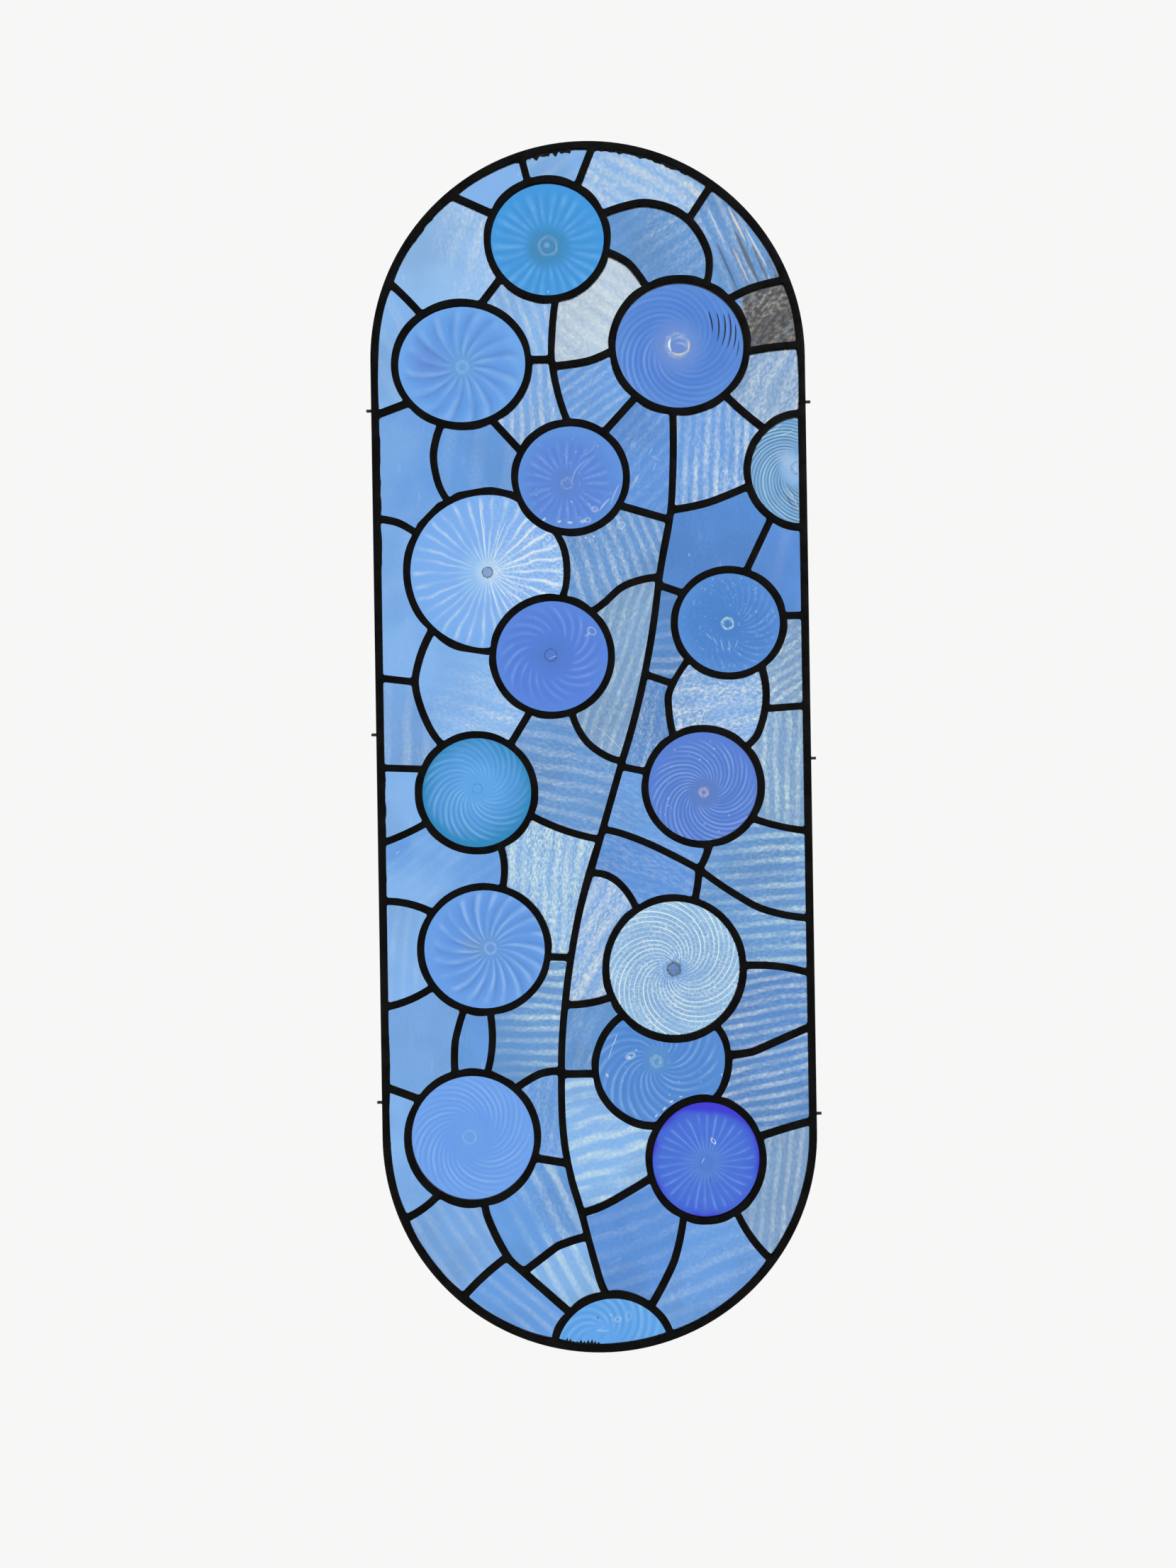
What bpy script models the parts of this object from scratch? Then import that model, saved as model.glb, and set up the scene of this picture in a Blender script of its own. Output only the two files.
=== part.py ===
"""Leaded glass skylight panel with round ends, seen from the room below.

+X is to the right and -Y is the top of the panel for someone who stands under it and looks up.
+Z points out to the sky. The origin is at the middle of the panel, halfway through its thickness.
"""

import math

import bmesh
import bpy
from mathutils import Matrix, Vector
from mathutils.geometry import delaunay_2d_cdt

MM = 0.001

# The panel, along the middle of its border came.
PANEL_WIDTH = 360.6 * MM
PANEL_LENGTH = 1016.8 * MM

# Lead cames: width of the leaf that shows, and height through the panel.
CAME_WIDTH = 6.4 * MM
CAME_HEIGHT = 6.0 * MM
BORDER_WIDTH = 6.4 * MM

# Glass, and the room the glazier leaves round each piece of it.
GLASS_THICKNESS = 3.0 * MM
GLAZING_GAP = 0.3 * MM

# Where one sheet of glass runs on under a came, the length of it that does.
SHEET_LINK = 8.0 * MM
LINK_OVERLAP = 2.5 * MM

# Pins that hold the panel in the middle of its opening.
PIN_DIAMETER = 2.5 * MM
PIN_REACH = 4.3 * MM
PIN_GAP = 0.3 * MM
PIN_SIDES = 10

# How finely round shapes are cut.
ROUNDEL_SIDES = 20
BORDER_END_SIDES = 20
SPAN_STEPS = 8
LINE_TOLERANCE = 0.4 * MM
SHORTEST_SIDE = 0.8 * MM
STRAIGHT_WITHIN = 0.05 * MM
WELD = 0.001 * MM
CUT_WITHIN = 0.0001 * MM
SHARPEST_MITRE = 0.3

# The drawing below is in millimetres from the middle of the panel, right and up. It was made for a
# panel of 360.6 by 1016.8, and stretches with the panel.
DRAWING_ACROSS = PANEL_WIDTH / 360.6
DRAWING_ALONG = PANEL_LENGTH / 1016.8

# Roundels: place right and up, half width and half length of the glass that shows, and lean in degrees.
ROUNDELS = {
    "roundel_top": (-32.5, 429.5, 47.5, 47.5, 0),
    "roundel_upper_right": (78.0, 338.2, 54.0, 52.8, 0),
    "roundel_upper_left": (-106.5, 325.0, 53.5, 49.0, 0),
    "roundel_upper_middle": (-16.0, 228.0, 44.0, 43.3, 0),
    "roundel_right_edge": (182.0, 231.0, 45.5, 45.5, 0),
    "roundel_large": (-88.0, 149.8, 64.5, 64.5, 0),
    "roundel_middle": (-34.0, 77.0, 47.0, 46.6, 0),
    "roundel_right": (116.0, 103.0, 43.0, 41.8, 0),
    "roundel_left": (-99.6, -37.3, 45.9, 45.9, 0),
    "roundel_right_middle": (92.0, -35.0, 46.0, 45.8, 0),
    "roundel_lower_left": (-95.0, -169.8, 50.7, 49.8, 0),
    "roundel_spiral": (65.5, -188.5, 55.0, 56.5, 0),
    "roundel_cut": (53.5, -269.0, 53.7, 49.5, 20),
    "roundel_deep": (89.5, -350.4, 45.0, 48.4, 0),
    "roundel_bottom_left": (-107.5, -329.2, 51.7, 52.5, 0),
    "roundel_foot": (9.0, -515.0, 48.5, 48.5, 0),
}

# These lie behind a neighbour or the border, which cuts their ring off.
CUT_ROUNDELS = ("roundel_right_edge", "roundel_large", "roundel_cut", "roundel_foot")

# A point inside the glass of a roundel whose middle the border cuts off.
ROUNDEL_SPOTS = {"roundel_right_edge": (160, 231), "roundel_foot": (9, -485)}

# Cames: what the first end meets, what the last end meets, and the points between.
CAMES = (
    ("roundel_top", "border", (-49.5, 481), (-53, 498)),
    ("roundel_top", "border", (-4, 479), (7, 504)),
    ("roundel_top", "border", (-83, 454), (-98, 461), (-113, 467)),
    ("roundel_top", "roundel_upper_right", (17, 452), (50, 459), (84, 447), (103, 417), (105, 395)),
    ("came", "border", (87.5, 445), (106.5, 473)),
    ("roundel_top", "roundel_upper_right", (20, 418), (36, 408), (48, 394)),
    ("roundel_top", "roundel_upper_left", (-78, 392), (-90, 376)),
    ("border", "roundel_upper_left", (-168, 396), (-156, 385), (-143, 372)),
    ("roundel_upper_right", "border", (120, 377), (135, 384), (150, 388.5), (170, 393)),
    ("roundel_upper_right", "border", (134, 332), (150, 334.5), (178, 337)),
    ("roundel_upper_right", "roundel_right_edge", (120, 291), (132, 280), (145, 270)),
    ("roundel_upper_right", "roundel_upper_middle", (37, 292), (18, 271)),
    ("roundel_top", "roundel_upper_middle", (-26, 377), (-30.5, 340), (-30, 322), (-26, 302), (-18.5, 279)),
    ("roundel_upper_left", "came", (-50, 328), (-30.5, 328)),
    ("came", "roundel_upper_right", (-30, 322), (0, 326), (17.5, 334)),
    ("border", "roundel_upper_left", (-178, 283), (-150, 295)),
    ("roundel_upper_left", "roundel_large", (-126.5, 272), (-131.6, 250), (-128, 225), (-121.5, 212)),
    ("roundel_upper_left", "roundel_upper_middle", (-80, 273), (-59, 251)),
    ("roundel_upper_right", "roundel_foot", (71.2, 282), (71, 250), (68.5, 200), (59, 150), (49, 85),
     (38, 35), (25, -8), (11, -55), (-4.2, -105), (-15, -142.5), (-24.7, -195), (-31, -255),
     (-31.2, -320), (-25.7, -360), (-18, -388), (-2.7, -447.5), (3, -461)),
    ("came", "roundel_right_edge", (68.5, 199), (100, 205), (131, 218)),
    ("roundel_upper_middle", "came", (27, 202.5), (40, 199.5), (67, 191)),
    ("roundel_right_edge", "roundel_right", (151, 189), (145, 175), (133, 150)),
    ("border", "roundel_large", (-179, 196), (-162.5, 192), (-151, 185)),
    ("came", "roundel_middle", (58, 143), (40, 140), (25, 134), (12.5, 123), (0, 114)),
    ("came", "roundel_right", (57, 136), (77, 129)),
    ("roundel_right", "border", (160, 108), (178, 108.5)),
    ("roundel_right", "roundel_right_middle", (144, 65), (146.5, 38), (139.5, 10), (132, 1)),
    ("roundel_right", "roundel_right_middle", (77, 69), (66.5, 50), (63.7, 35), (65.9, 10)),
    ("came", "came", (43.5, 61), (66, 53)),
    ("came", "border", (146.3, 30), (178, 32)),
    ("border", "came", (-178, 61), (-150, 57)),
    ("roundel_large", "roundel_left", (-140, 97), (-150, 60), (-140.6, 22.5), (-131, 9)),
    ("roundel_middle", "roundel_left", (-55, 27), (-67.5, 7)),
    ("roundel_middle", "came", (-17.5, 24), (-10, 10), (0, -1), (12.5, -9), (24, -13)),
    ("came", "roundel_right_middle", (22.5, -17), (46, -22)),
    ("border", "roundel_left", (-178, -15), (-147, -15)),
    ("border", "roundel_left", (-178, -79), (-160, -71), (-145, -63.7)),
    ("border", "roundel_lower_left", (-178, -127.5), (-160, -130), (-140, -136)),
    ("roundel_left", "roundel_lower_left", (-78.2, -85), (-77, -100), (-78.2, -115)),
    ("roundel_left", "came", (-50, -59.5), (-25, -70.5), (3.5, -78.5)),
    ("came", "border", (6, -69.5), (25, -74.5), (50, -85.2), (87.5, -105), (120, -128), (145, -141),
     (176, -148)),
    ("roundel_right_middle", "came", (97.5, -85), (91, -99), (87.5, -105)),
    ("came", "roundel_spiral", (87.5, -105), (86.5, -115), (85.7, -127.5)),
    ("roundel_right_middle", "border", (138.7, -65.7), (157.5, -70), (176, -74)),
    ("came", "roundel_spiral", (-4.5, -106), (12, -110), (25, -121.5), (32.5, -134)),
    ("roundel_lower_left", "came", (-41, -177), (-21, -178)),
    ("border", "roundel_lower_left", (-176, -218), (-157.5, -211), (-141, -202.5)),
    ("roundel_lower_left", "roundel_bottom_left", (-114.5, -222.7), (-121, -247.5), (-122.5, -271)),
    ("roundel_lower_left", "roundel_bottom_left", (-90.2, -226.7), (-89.5, -247), (-93.2, -270)),
    ("roundel_bottom_left", "came", (-67, -284), (-50, -276), (-32, -273.5)),
    ("came", "roundel_spiral", (-27.5, -218), (-10, -217), (8.7, -213.7)),
    ("came", "roundel_cut", (-32, -276.5), (-3, -276.5)),
    ("roundel_spiral", "border", (125, -186.5), (150, -187.7), (176, -194)),
    ("roundel_cut", "border", (112, -261.7), (130, -260), (150, -252), (176, -239)),
    ("border", "roundel_bottom_left", (-176, -285), (-152.5, -295)),
    ("roundel_bottom_left", "came", (-52.7, -348.2), (-27, -352)),
    ("came", "roundel_deep", (-16, -394), (0, -389), (20, -378.7), (38.7, -365.7)),
    ("roundel_deep", "border", (137.5, -330.5), (157, -325), (176, -319)),
    ("roundel_deep", "border", (116, -398), (127.5, -418), (141, -435)),
    ("roundel_deep", "roundel_foot", (68.5, -400.5), (66, -417.5), (60, -439), (44.5, -470.7)),
    ("roundel_bottom_left", "border", (-138, -380), (-150, -388), (-164.5, -396.7)),
    ("roundel_bottom_left", "roundel_foot", (-98.2, -386.5), (-94.5, -400), (-80, -429.5),
     (-68.7, -441), (-30.7, -475)),
    ("came", "border", (-80, -430), (-98.7, -445), (-117, -462.5)),
    ("came", "came", (-66, -443), (-50.7, -431.7), (-36.2, -421.5), (-12.5, -414)),
)


# Background panes: each name has a point inside every piece of glass that it holds. Where it holds
# more than one, they are pieces of like glass next to each other, fused by a link under their came.
PANES = {
    "pane_top_left": [(-114, 411)],
    "pane_top_arch": [(-74, 475), (-22, 490)],
    "pane_top_right": [(49, 470)],
    "pane_crescent": [(61, 426)],
    "pane_streaked": [(122, 415)],
    "pane_smoky": [(150, 360)],
    "pane_right_shoulder": [(152, 303)],
    "pane_frosted_top": [(9, 367)],
    "pane_stem_upper_left": [(-38, 345), (-42, 300)],
    "pane_stem_upper_right": [(1, 305)],
    "pane_left_edge_upper": [(-170, 345), (-150, 232)],
    "pane_under_upper_left": [(-101, 241)],
    "pane_left_edge_middle": [(-165, 138), (-160, 19)],
    "pane_left_middle": [(-115, 44)],
    "pane_left_edge_lower": [(-158, -44), (-123, -102), (-165, -164)],
    "pane_left_edge_bottom": [(-150, -246), (-168, -348)],
    "pane_narrow_left": [(-105, -249), (-58, -237)],
    "pane_frosted_left": [(-48, -117)],
    "pane_stem_left": [(-27, -12)],
    "pane_stem_wispy": [(13, 157), (20, 80)],
    "pane_stem_plain": [(44, 241)],
    "pane_frosted_right": [(100, 246)],
    "pane_right_upper": [(103, 173), (160, 148)],
    "pane_stem_right": [(63, 91), (51, 24)],
    "pane_right_edge_middle": [(165, 67), (160, -15)],
    "pane_barrel": [(108, 34)],
    "pane_sliver": [(35, -60)],
    "pane_stem_right_lower": [(39, -100)],
    "pane_right_edge_lower": [(133, -105), (140, -160)],
    "pane_frosted_lower": [(2, -159), (-12, -240)],
    "pane_right_edge_bottom": [(135, -225), (131, -293)],
    "pane_stem_foot_right": [(4, -337)],
    "pane_stem_foot_left": [(-43, -310), (-58, -394), (-22, -449)],
    "pane_bottom_left": [(-121, -410), (-70, -471)],
    "pane_bottom_middle": [(29, -421)],
    "pane_bottom_right": [(91, -441)],
    "pane_right_edge_foot": [(152, -374)],
}

# Pins on each straight side of the panel, by their place up the panel.
LEFT_PINS = {"pin_left_top": 287, "pin_left_middle": 13, "pin_left_bottom": -298}
RIGHT_PINS = {"pin_right_top": 289, "pin_right_middle": -12.5, "pin_right_bottom": -313}

# Colour, roughness and how much light passes, for each kind of surface.
LEAD = ("lead", (0.02, 0.02, 0.024), 0.45, 0.9, 0.0)
STEEL = ("pin_steel", (0.06, 0.06, 0.065), 0.4, 1.0, 0.0)
SKY_GLASS = ("sky_glass", (0.27, 0.47, 0.85), 0.08, 0.0, 1.0)
PALE_GLASS = ("pale_glass", (0.62, 0.72, 0.85), 0.3, 0.0, 1.0)
SMOKY_GLASS = ("smoky_glass", (0.12, 0.13, 0.16), 0.3, 0.0, 1.0)
VIOLET_GLASS = ("violet_glass", (0.16, 0.22, 0.74), 0.06, 0.0, 1.0)
CYAN_GLASS = ("cyan_glass", (0.04, 0.36, 0.72), 0.06, 0.0, 1.0)
DEEP_GLASS = ("deep_glass", (0.05, 0.06, 0.7), 0.06, 0.0, 1.0)
GLASS_OF = {
    "roundel_top": CYAN_GLASS,
    "roundel_left": CYAN_GLASS,
    "roundel_upper_right": VIOLET_GLASS,
    "roundel_upper_middle": VIOLET_GLASS,
    "roundel_middle": VIOLET_GLASS,
    "roundel_right_middle": VIOLET_GLASS,
    "roundel_deep": DEEP_GLASS,
    "roundel_spiral": PALE_GLASS,
    "pane_smoky": SMOKY_GLASS,
    "pane_frosted_top": PALE_GLASS,
    "pane_frosted_left": PALE_GLASS,
    "pane_frosted_right": PALE_GLASS,
    "pane_frosted_lower": PALE_GLASS,
    "pane_barrel": PALE_GLASS,
}


def clear_scene():
    for obj in list(bpy.data.objects):
        bpy.data.objects.remove(obj, do_unlink=True)


def place(right, up):
    """A point of the drawing, on the panel."""
    return Vector((right * DRAWING_ACROSS, -up * DRAWING_ALONG))


def roundel_outline(name, grow):
    """The outline of a roundel's glass, pushed out by grow."""
    right, up, half_width, half_length, lean = ROUNDELS[name]
    turn = Matrix.Rotation(math.radians(lean), 2)
    outline = []
    for side in range(ROUNDEL_SIDES):
        angle = -math.tau * side / ROUNDEL_SIDES
        edge = turn @ Vector((half_width * math.cos(angle), half_length * math.sin(angle)))
        outline.append(place(right + edge.x, up + edge.y))
    return shrunk(outline, -grow)


def border_outline(grow):
    """The stadium outline of the panel, pushed out by grow from the middle of the border came."""
    radius = PANEL_WIDTH / 2 + grow
    reach = (PANEL_LENGTH - PANEL_WIDTH) / 2
    outline = []
    for end, start in ((1, 0), (-1, math.pi)):
        for side in range(BORDER_END_SIDES + 1):
            angle = start + math.pi * side / BORDER_END_SIDES
            outline.append(Vector((radius * math.cos(angle), end * reach + radius * math.sin(angle))))
    return outline


def on_border(point):
    """The point of the border's middle line that is nearest."""
    reach = (PANEL_LENGTH - PANEL_WIDTH) / 2
    middle = Vector((0, max(-reach, min(reach, point.y))))
    if abs(point.y) <= reach:
        return middle + Vector((math.copysign(PANEL_WIDTH / 2, point.x), 0))
    return middle + (point - middle).normalized() * PANEL_WIDTH / 2


def on_roundel(name, point):
    """The point of the middle line of a roundel's came that is nearest."""
    return nearest_on(roundel_outline(name, CAME_WIDTH / 2), point)


def smooth_line(points):
    """A curve through the points, cut into short straight sides."""
    padded = [2 * points[0] - points[1], *points, 2 * points[-1] - points[-2]]
    line = [points[0]]
    for before, start, end, after in zip(padded, padded[1:], padded[2:], padded[3:]):
        for step in range(1, SPAN_STEPS + 1):
            t = step / SPAN_STEPS
            line.append(0.5 * (2 * start + (end - before) * t
                               + (2 * before - 5 * start + 4 * end - after) * t * t
                               + (3 * start - before - 3 * end + after) * t * t * t))
    return line


def simplified(line, tolerance):
    """The line with only the points that its shape needs."""
    if len(line) < 3:
        return line
    along = (line[-1] - line[0]).normalized()
    away = [abs(along.cross(point - line[0])) for point in line]
    far = max(range(len(line)), key=away.__getitem__)
    if away[far] <= tolerance:
        return [line[0], line[-1]]
    return simplified(line[:far + 1], tolerance)[:-1] + simplified(line[far:], tolerance)


def came_line(came):
    """The middle line of one came, from what it meets to what it meets."""
    points = [place(*point) for point in came[2:]]
    for end, met in ((0, came[0]), (-1, came[1])):
        if met == "border":
            points[end] = on_border(points[end])
        elif met != "came":
            points[end] = on_roundel(met, points[end])
    return simplified(smooth_line(points), LINE_TOLERANCE)


def ribbon(line, width):
    """The outline of a strip of even width along a line."""
    left, right = [], []
    for index, point in enumerate(line):
        before = (point - line[max(index - 1, 0)]).normalized()
        after = (line[min(index + 1, len(line) - 1)] - point).normalized()
        along = (before + after).normalized()
        reach = width / 2 / max(along.dot(before), along.dot(after), SHARPEST_MITRE)
        across = Vector((-along.y, along.x)) * reach
        left.append(point + across)
        right.append(point - across)
    return right + left[::-1]


def net_regions():
    """Cuts the panel's plan into lead and open cells, and returns the outline of each cell."""
    points, faces, kinds = [], [], []

    def add(outline, kind):
        faces.append(range(len(points), len(points) + len(outline)))
        points.extend(outline)
        kinds.append(kind)

    add(border_outline(BORDER_WIDTH / 2), "panel")
    add(border_outline(-BORDER_WIDTH / 2), "field")
    for name in ROUNDELS:
        add(roundel_outline(name, CAME_WIDTH), name)
        add(roundel_outline(name, 0), name + " glass")
    for came in CAMES:
        add(ribbon(came_line(came), CAME_WIDTH), "strip")
    cut = delaunay_2d_cdt(points, [], faces, 0, CUT_WITHIN, True)
    open_triangles = []
    for triangle, sources in zip(cut[2], cut[5]):
        found = {kinds[source] for source in sources}
        if "field" in found and not is_lead(found):
            open_triangles.append(triangle)
    return [[Vector(cut[0][index]) for index in loop] for loop in outlines_of(open_triangles)]


def is_lead(found):
    """Whether a spot of the field is under lead, from the names of the shapes that it lies in."""
    if any(name + " glass" in found for name in ROUNDELS if name not in CUT_ROUNDELS):
        return False
    rings = any(name in found and name + " glass" not in found for name in ROUNDELS)
    return rings or "strip" in found


def outlines_of(triangles):
    """The outline of each group of triangles that share sides, as a loop of point numbers."""
    owner = {}
    for number, (a, b, c) in enumerate(triangles):
        for side in ((a, b), (b, c), (c, a)):
            owner[side] = number
    group = list(range(len(triangles)))

    def root(number):
        while group[number] != number:
            number = group[number]
        return number

    for (a, b), number in owner.items():
        if (b, a) in owner:
            group[root(number)] = root(owner[b, a])
    following = {}
    for (a, b), number in owner.items():
        if (b, a) not in owner:
            following.setdefault(root(number), {})[a] = b
    loops = []
    for sides in following.values():
        start = at = min(sides)
        loop = [start]
        while sides[at] != start:
            at = sides[at]
            loop.append(at)
        loops.append(loop)
    return loops


def tidy_outline(outline):
    """The outline without points that lie on a straight side or right beside another."""
    kept = list(outline)
    for index in range(len(kept) - 1, -1, -1):
        before, point, after = kept[index - 1], kept[index], kept[(index + 1) % len(kept)]
        along = (after - before).normalized()
        if abs(along.cross(point - before)) < STRAIGHT_WITHIN or (point - before).length < SHORTEST_SIDE:
            kept.pop(index)
    return kept


def shrunk(outline, distance):
    """The outline moved inwards by an even distance."""
    moved = []
    for before, point, after in zip(outline[-1:] + outline[:-1], outline, outline[1:] + outline[:1]):
        coming = (point - before).normalized()
        going = (after - point).normalized()
        inward = Vector((-coming.y - going.y, coming.x + going.x)).normalized()
        mitre = max(inward.dot(Vector((-going.y, going.x))), SHARPEST_MITRE)
        moved.append(point + inward * distance / mitre)
    return moved


def holds(outline, point):
    """Whether the point lies inside the outline."""
    inside = False
    for a, b in zip(outline, outline[1:] + outline[:1]):
        if (a.y > point.y) != (b.y > point.y):
            inside ^= point.x < a.x + (b.x - a.x) * (point.y - a.y) / (b.y - a.y)
    return inside


def nearest_on(outline, point):
    """The point of the outline that is nearest to the given one."""
    found = []
    for a, b in zip(outline, outline[1:] + outline[:1]):
        share = max(0, min(1, (point - a).dot(b - a) / (b - a).length_squared))
        found.append(a.lerp(b, share))
    return min(found, key=lambda near: (near - point).length)


def link_place(first, second):
    """The middle of the came between two cells, and the way across it."""
    pairs = []
    for a, b in zip(first, first[1:] + first[:1]):
        for step in range(SPAN_STEPS):
            near = a.lerp(b, step / SPAN_STEPS)
            far = nearest_on(second, near)
            if (far - near).length < CAME_WIDTH + LINK_OVERLAP / 2:
                pairs.append((near, far))
    middle = sum((near for near, far in pairs), Vector((0, 0))) / len(pairs)
    near, far = min(pairs, key=lambda pair: (pair[0] - middle).length)
    return (near + far) / 2, (far - near).normalized()


def rectangle(middle, across, length, width):
    """A rectangle with its length across a came and its width along it."""
    side = Vector((-across.y, across.x))
    corners = ((-1, -1), (1, -1), (1, 1), (-1, 1))
    return [middle + across * length / 2 * a + side * width / 2 * b for a, b in corners]


def fused(outlines):
    """The one outline round shapes that overlap."""
    points, faces = [], []
    for outline in outlines:
        faces.append(range(len(points), len(points) + len(outline)))
        points.extend(outline)
    cut = delaunay_2d_cdt(points, [], faces, 0, CUT_WITHIN, True)
    covered = [triangle for triangle, sources in zip(cut[2], cut[5]) if sources]
    return [Vector(cut[0][index]) for index in outlines_of(covered)[0]]


def material(look):
    """The material for a kind of surface, made once."""
    name, colour, roughness, metallic, passing = look
    if name in bpy.data.materials:
        return bpy.data.materials[name]
    made = bpy.data.materials.new(name)
    made.use_nodes = True
    shader = made.node_tree.nodes["Principled BSDF"]
    shader.inputs["Base Color"].default_value = (*colour, 1)
    shader.inputs["Roughness"].default_value = roughness
    shader.inputs["Metallic"].default_value = metallic
    shader.inputs["Transmission Weight"].default_value = passing
    return made


def plate(name, outlines, thickness, look, collection):
    """A flat plate: its outline comes first, and the others are holes."""
    curve = bpy.data.curves.new(name, "CURVE")
    curve.dimensions = "2D"
    curve.fill_mode = "BOTH"
    curve.extrude = thickness / 2
    for outline in outlines:
        spline = curve.splines.new("POLY")
        spline.points.add(len(outline) - 1)
        for point, corner in zip(spline.points, outline):
            point.co = (corner.x, corner.y, 0, 1)
        spline.use_cyclic_u = True
    drawn = bpy.data.objects.new(name + "_outline", curve)
    collection.objects.link(drawn)
    graph = bpy.context.evaluated_depsgraph_get()
    mesh = bpy.data.meshes.new_from_object(drawn.evaluated_get(graph))
    bpy.data.objects.remove(drawn)
    shape = bmesh.new()
    shape.from_mesh(mesh)
    bmesh.ops.remove_doubles(shape, verts=shape.verts, dist=WELD)
    bmesh.ops.recalc_face_normals(shape, faces=shape.faces)
    shape.to_mesh(mesh)
    shape.free()
    mesh.materials.clear()
    mesh.materials.append(material(look))
    made = bpy.data.objects.new(name, mesh)
    collection.objects.link(made)
    return made


def new_collection(name):
    collection = bpy.data.collections.new(name)
    bpy.context.scene.collection.children.link(collection)
    return collection


def cell_at(cells, spot):
    """The cell of the net that a point of the drawing lies in."""
    point = place(*spot)
    return next(cell for cell in cells if holds(cell, point))


def build_pane(name, cells, collection):
    """One background pane, or a few fused ones, and where their links cross the cames."""
    members = [cell_at(cells, spot) for spot in PANES[name]]
    links = [link_place(first, second) for first, second in zip(members, members[1:])]
    outlines = [shrunk(member, GLAZING_GAP) for member in members]
    for middle, across in links:
        outlines.append(rectangle(middle, across, CAME_WIDTH + 2 * LINK_OVERLAP, SHEET_LINK))
    outline = fused(outlines) if links else outlines[0]
    plate(name, [outline], GLASS_THICKNESS, GLASS_OF.get(name, SKY_GLASS), collection)
    return links


def build_roundel(name, cells, collection):
    cell = cell_at(cells, ROUNDEL_SPOTS.get(name, ROUNDELS[name][:2]))
    plate(name, [shrunk(cell, GLAZING_GAP)], GLASS_THICKNESS, GLASS_OF.get(name, SKY_GLASS), collection)


def build_came_net(cells, links, collection, cutters):
    """All the cames, soldered into one net, with a slot where fused glass passes through."""
    net = plate("came_net", [border_outline(BORDER_WIDTH / 2), *cells], CAME_HEIGHT, LEAD, collection)
    for number, (middle, across) in enumerate(links, 1):
        outline = rectangle(middle, across, CAME_WIDTH + 2 * LINK_OVERLAP, SHEET_LINK + 2 * GLAZING_GAP)
        slot = plate(f"slot_{number}", [outline], GLASS_THICKNESS + 2 * GLAZING_GAP, LEAD, cutters)
        slot.hide_render = True
        slot.display_type = "WIRE"
    cut = net.modifiers.new("glass_slots", "BOOLEAN")
    cut.operation = "DIFFERENCE"
    cut.operand_type = "COLLECTION"
    cut.collection = cutters
    return net


def build_pins(collection):
    """Steel pins that reach from the border to the sides of the opening."""
    inner = PANEL_WIDTH / 2 + BORDER_WIDTH / 2 + PIN_GAP
    length = PIN_REACH - PIN_GAP
    for side, pins in ((-1, LEFT_PINS), (1, RIGHT_PINS)):
        for name, up in pins.items():
            along = place(0, up).y
            bpy.ops.mesh.primitive_cylinder_add(
                vertices=PIN_SIDES, radius=PIN_DIAMETER / 2, depth=length,
                location=(side * (inner + length / 2), along, 0), rotation=(0, math.pi / 2, 0))
            pin = bpy.context.object
            pin.name = name
            pin.data.name = name
            pin.data.shade_smooth()
            pin.data.set_sharp_from_angle(angle=math.radians(40))
            pin.data.materials.append(material(STEEL))
            for owner in list(pin.users_collection):
                owner.objects.unlink(pin)
            collection.objects.link(pin)


def main():
    clear_scene()
    parts = new_collection("leaded_skylight")
    cutters = new_collection("cutters")
    cells = [tidy_outline(cell) for cell in net_regions()]
    links = []
    for name in PANES:
        links.extend(build_pane(name, cells, parts))
    for name in ROUNDELS:
        build_roundel(name, cells, parts)
    build_came_net(cells, links, parts, cutters)
    build_pins(parts)


main()
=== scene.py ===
import math

import bpy
import bmesh
from mathutils import Matrix, Vector, noise
from mathutils.geometry import delaunay_2d_cdt


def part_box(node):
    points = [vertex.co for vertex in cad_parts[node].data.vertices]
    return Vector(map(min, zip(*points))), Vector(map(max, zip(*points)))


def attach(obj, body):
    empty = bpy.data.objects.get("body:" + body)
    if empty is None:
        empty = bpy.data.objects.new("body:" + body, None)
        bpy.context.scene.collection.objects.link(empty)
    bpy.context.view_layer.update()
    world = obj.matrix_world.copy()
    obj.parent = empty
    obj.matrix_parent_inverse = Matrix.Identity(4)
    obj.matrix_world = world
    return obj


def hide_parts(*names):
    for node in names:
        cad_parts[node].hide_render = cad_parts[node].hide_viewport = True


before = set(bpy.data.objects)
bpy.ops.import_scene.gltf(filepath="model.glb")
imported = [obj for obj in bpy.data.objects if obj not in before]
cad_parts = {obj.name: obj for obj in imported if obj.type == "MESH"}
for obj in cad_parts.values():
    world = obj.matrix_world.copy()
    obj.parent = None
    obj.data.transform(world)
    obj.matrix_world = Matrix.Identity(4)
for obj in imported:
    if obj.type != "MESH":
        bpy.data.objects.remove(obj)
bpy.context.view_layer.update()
mm = 0.001

# +X is right and -Y is the panel's top for someone looking up at it, +Z is the sky side.


def place(right, up):
    return right * mm, -up * mm


def deselectAll():
    if bpy.context.object and bpy.context.object.mode != "OBJECT":
        bpy.ops.object.mode_set(mode="OBJECT")
    bpy.ops.object.select_all(action="DESELECT")


def pick(piece):
    deselectAll()
    bpy.context.view_layer.objects.active = piece
    piece.select_set(True)


def edit(piece, kind="FACE"):
    pick(piece)
    bpy.ops.object.mode_set(mode="EDIT")
    bpy.ops.mesh.select_mode(type=kind)


def done():
    bpy.ops.object.mode_set(mode="OBJECT")


def selectAll():
    bpy.ops.mesh.select_all(action="SELECT")


def facesOut():
    selectAll()
    bpy.ops.mesh.normals_make_consistent(inside=False)


def extrude(x=0, y=0, z=0):
    bpy.ops.mesh.extrude_region_move(TRANSFORM_OT_translate={"value": (x, y, z)})


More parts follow.
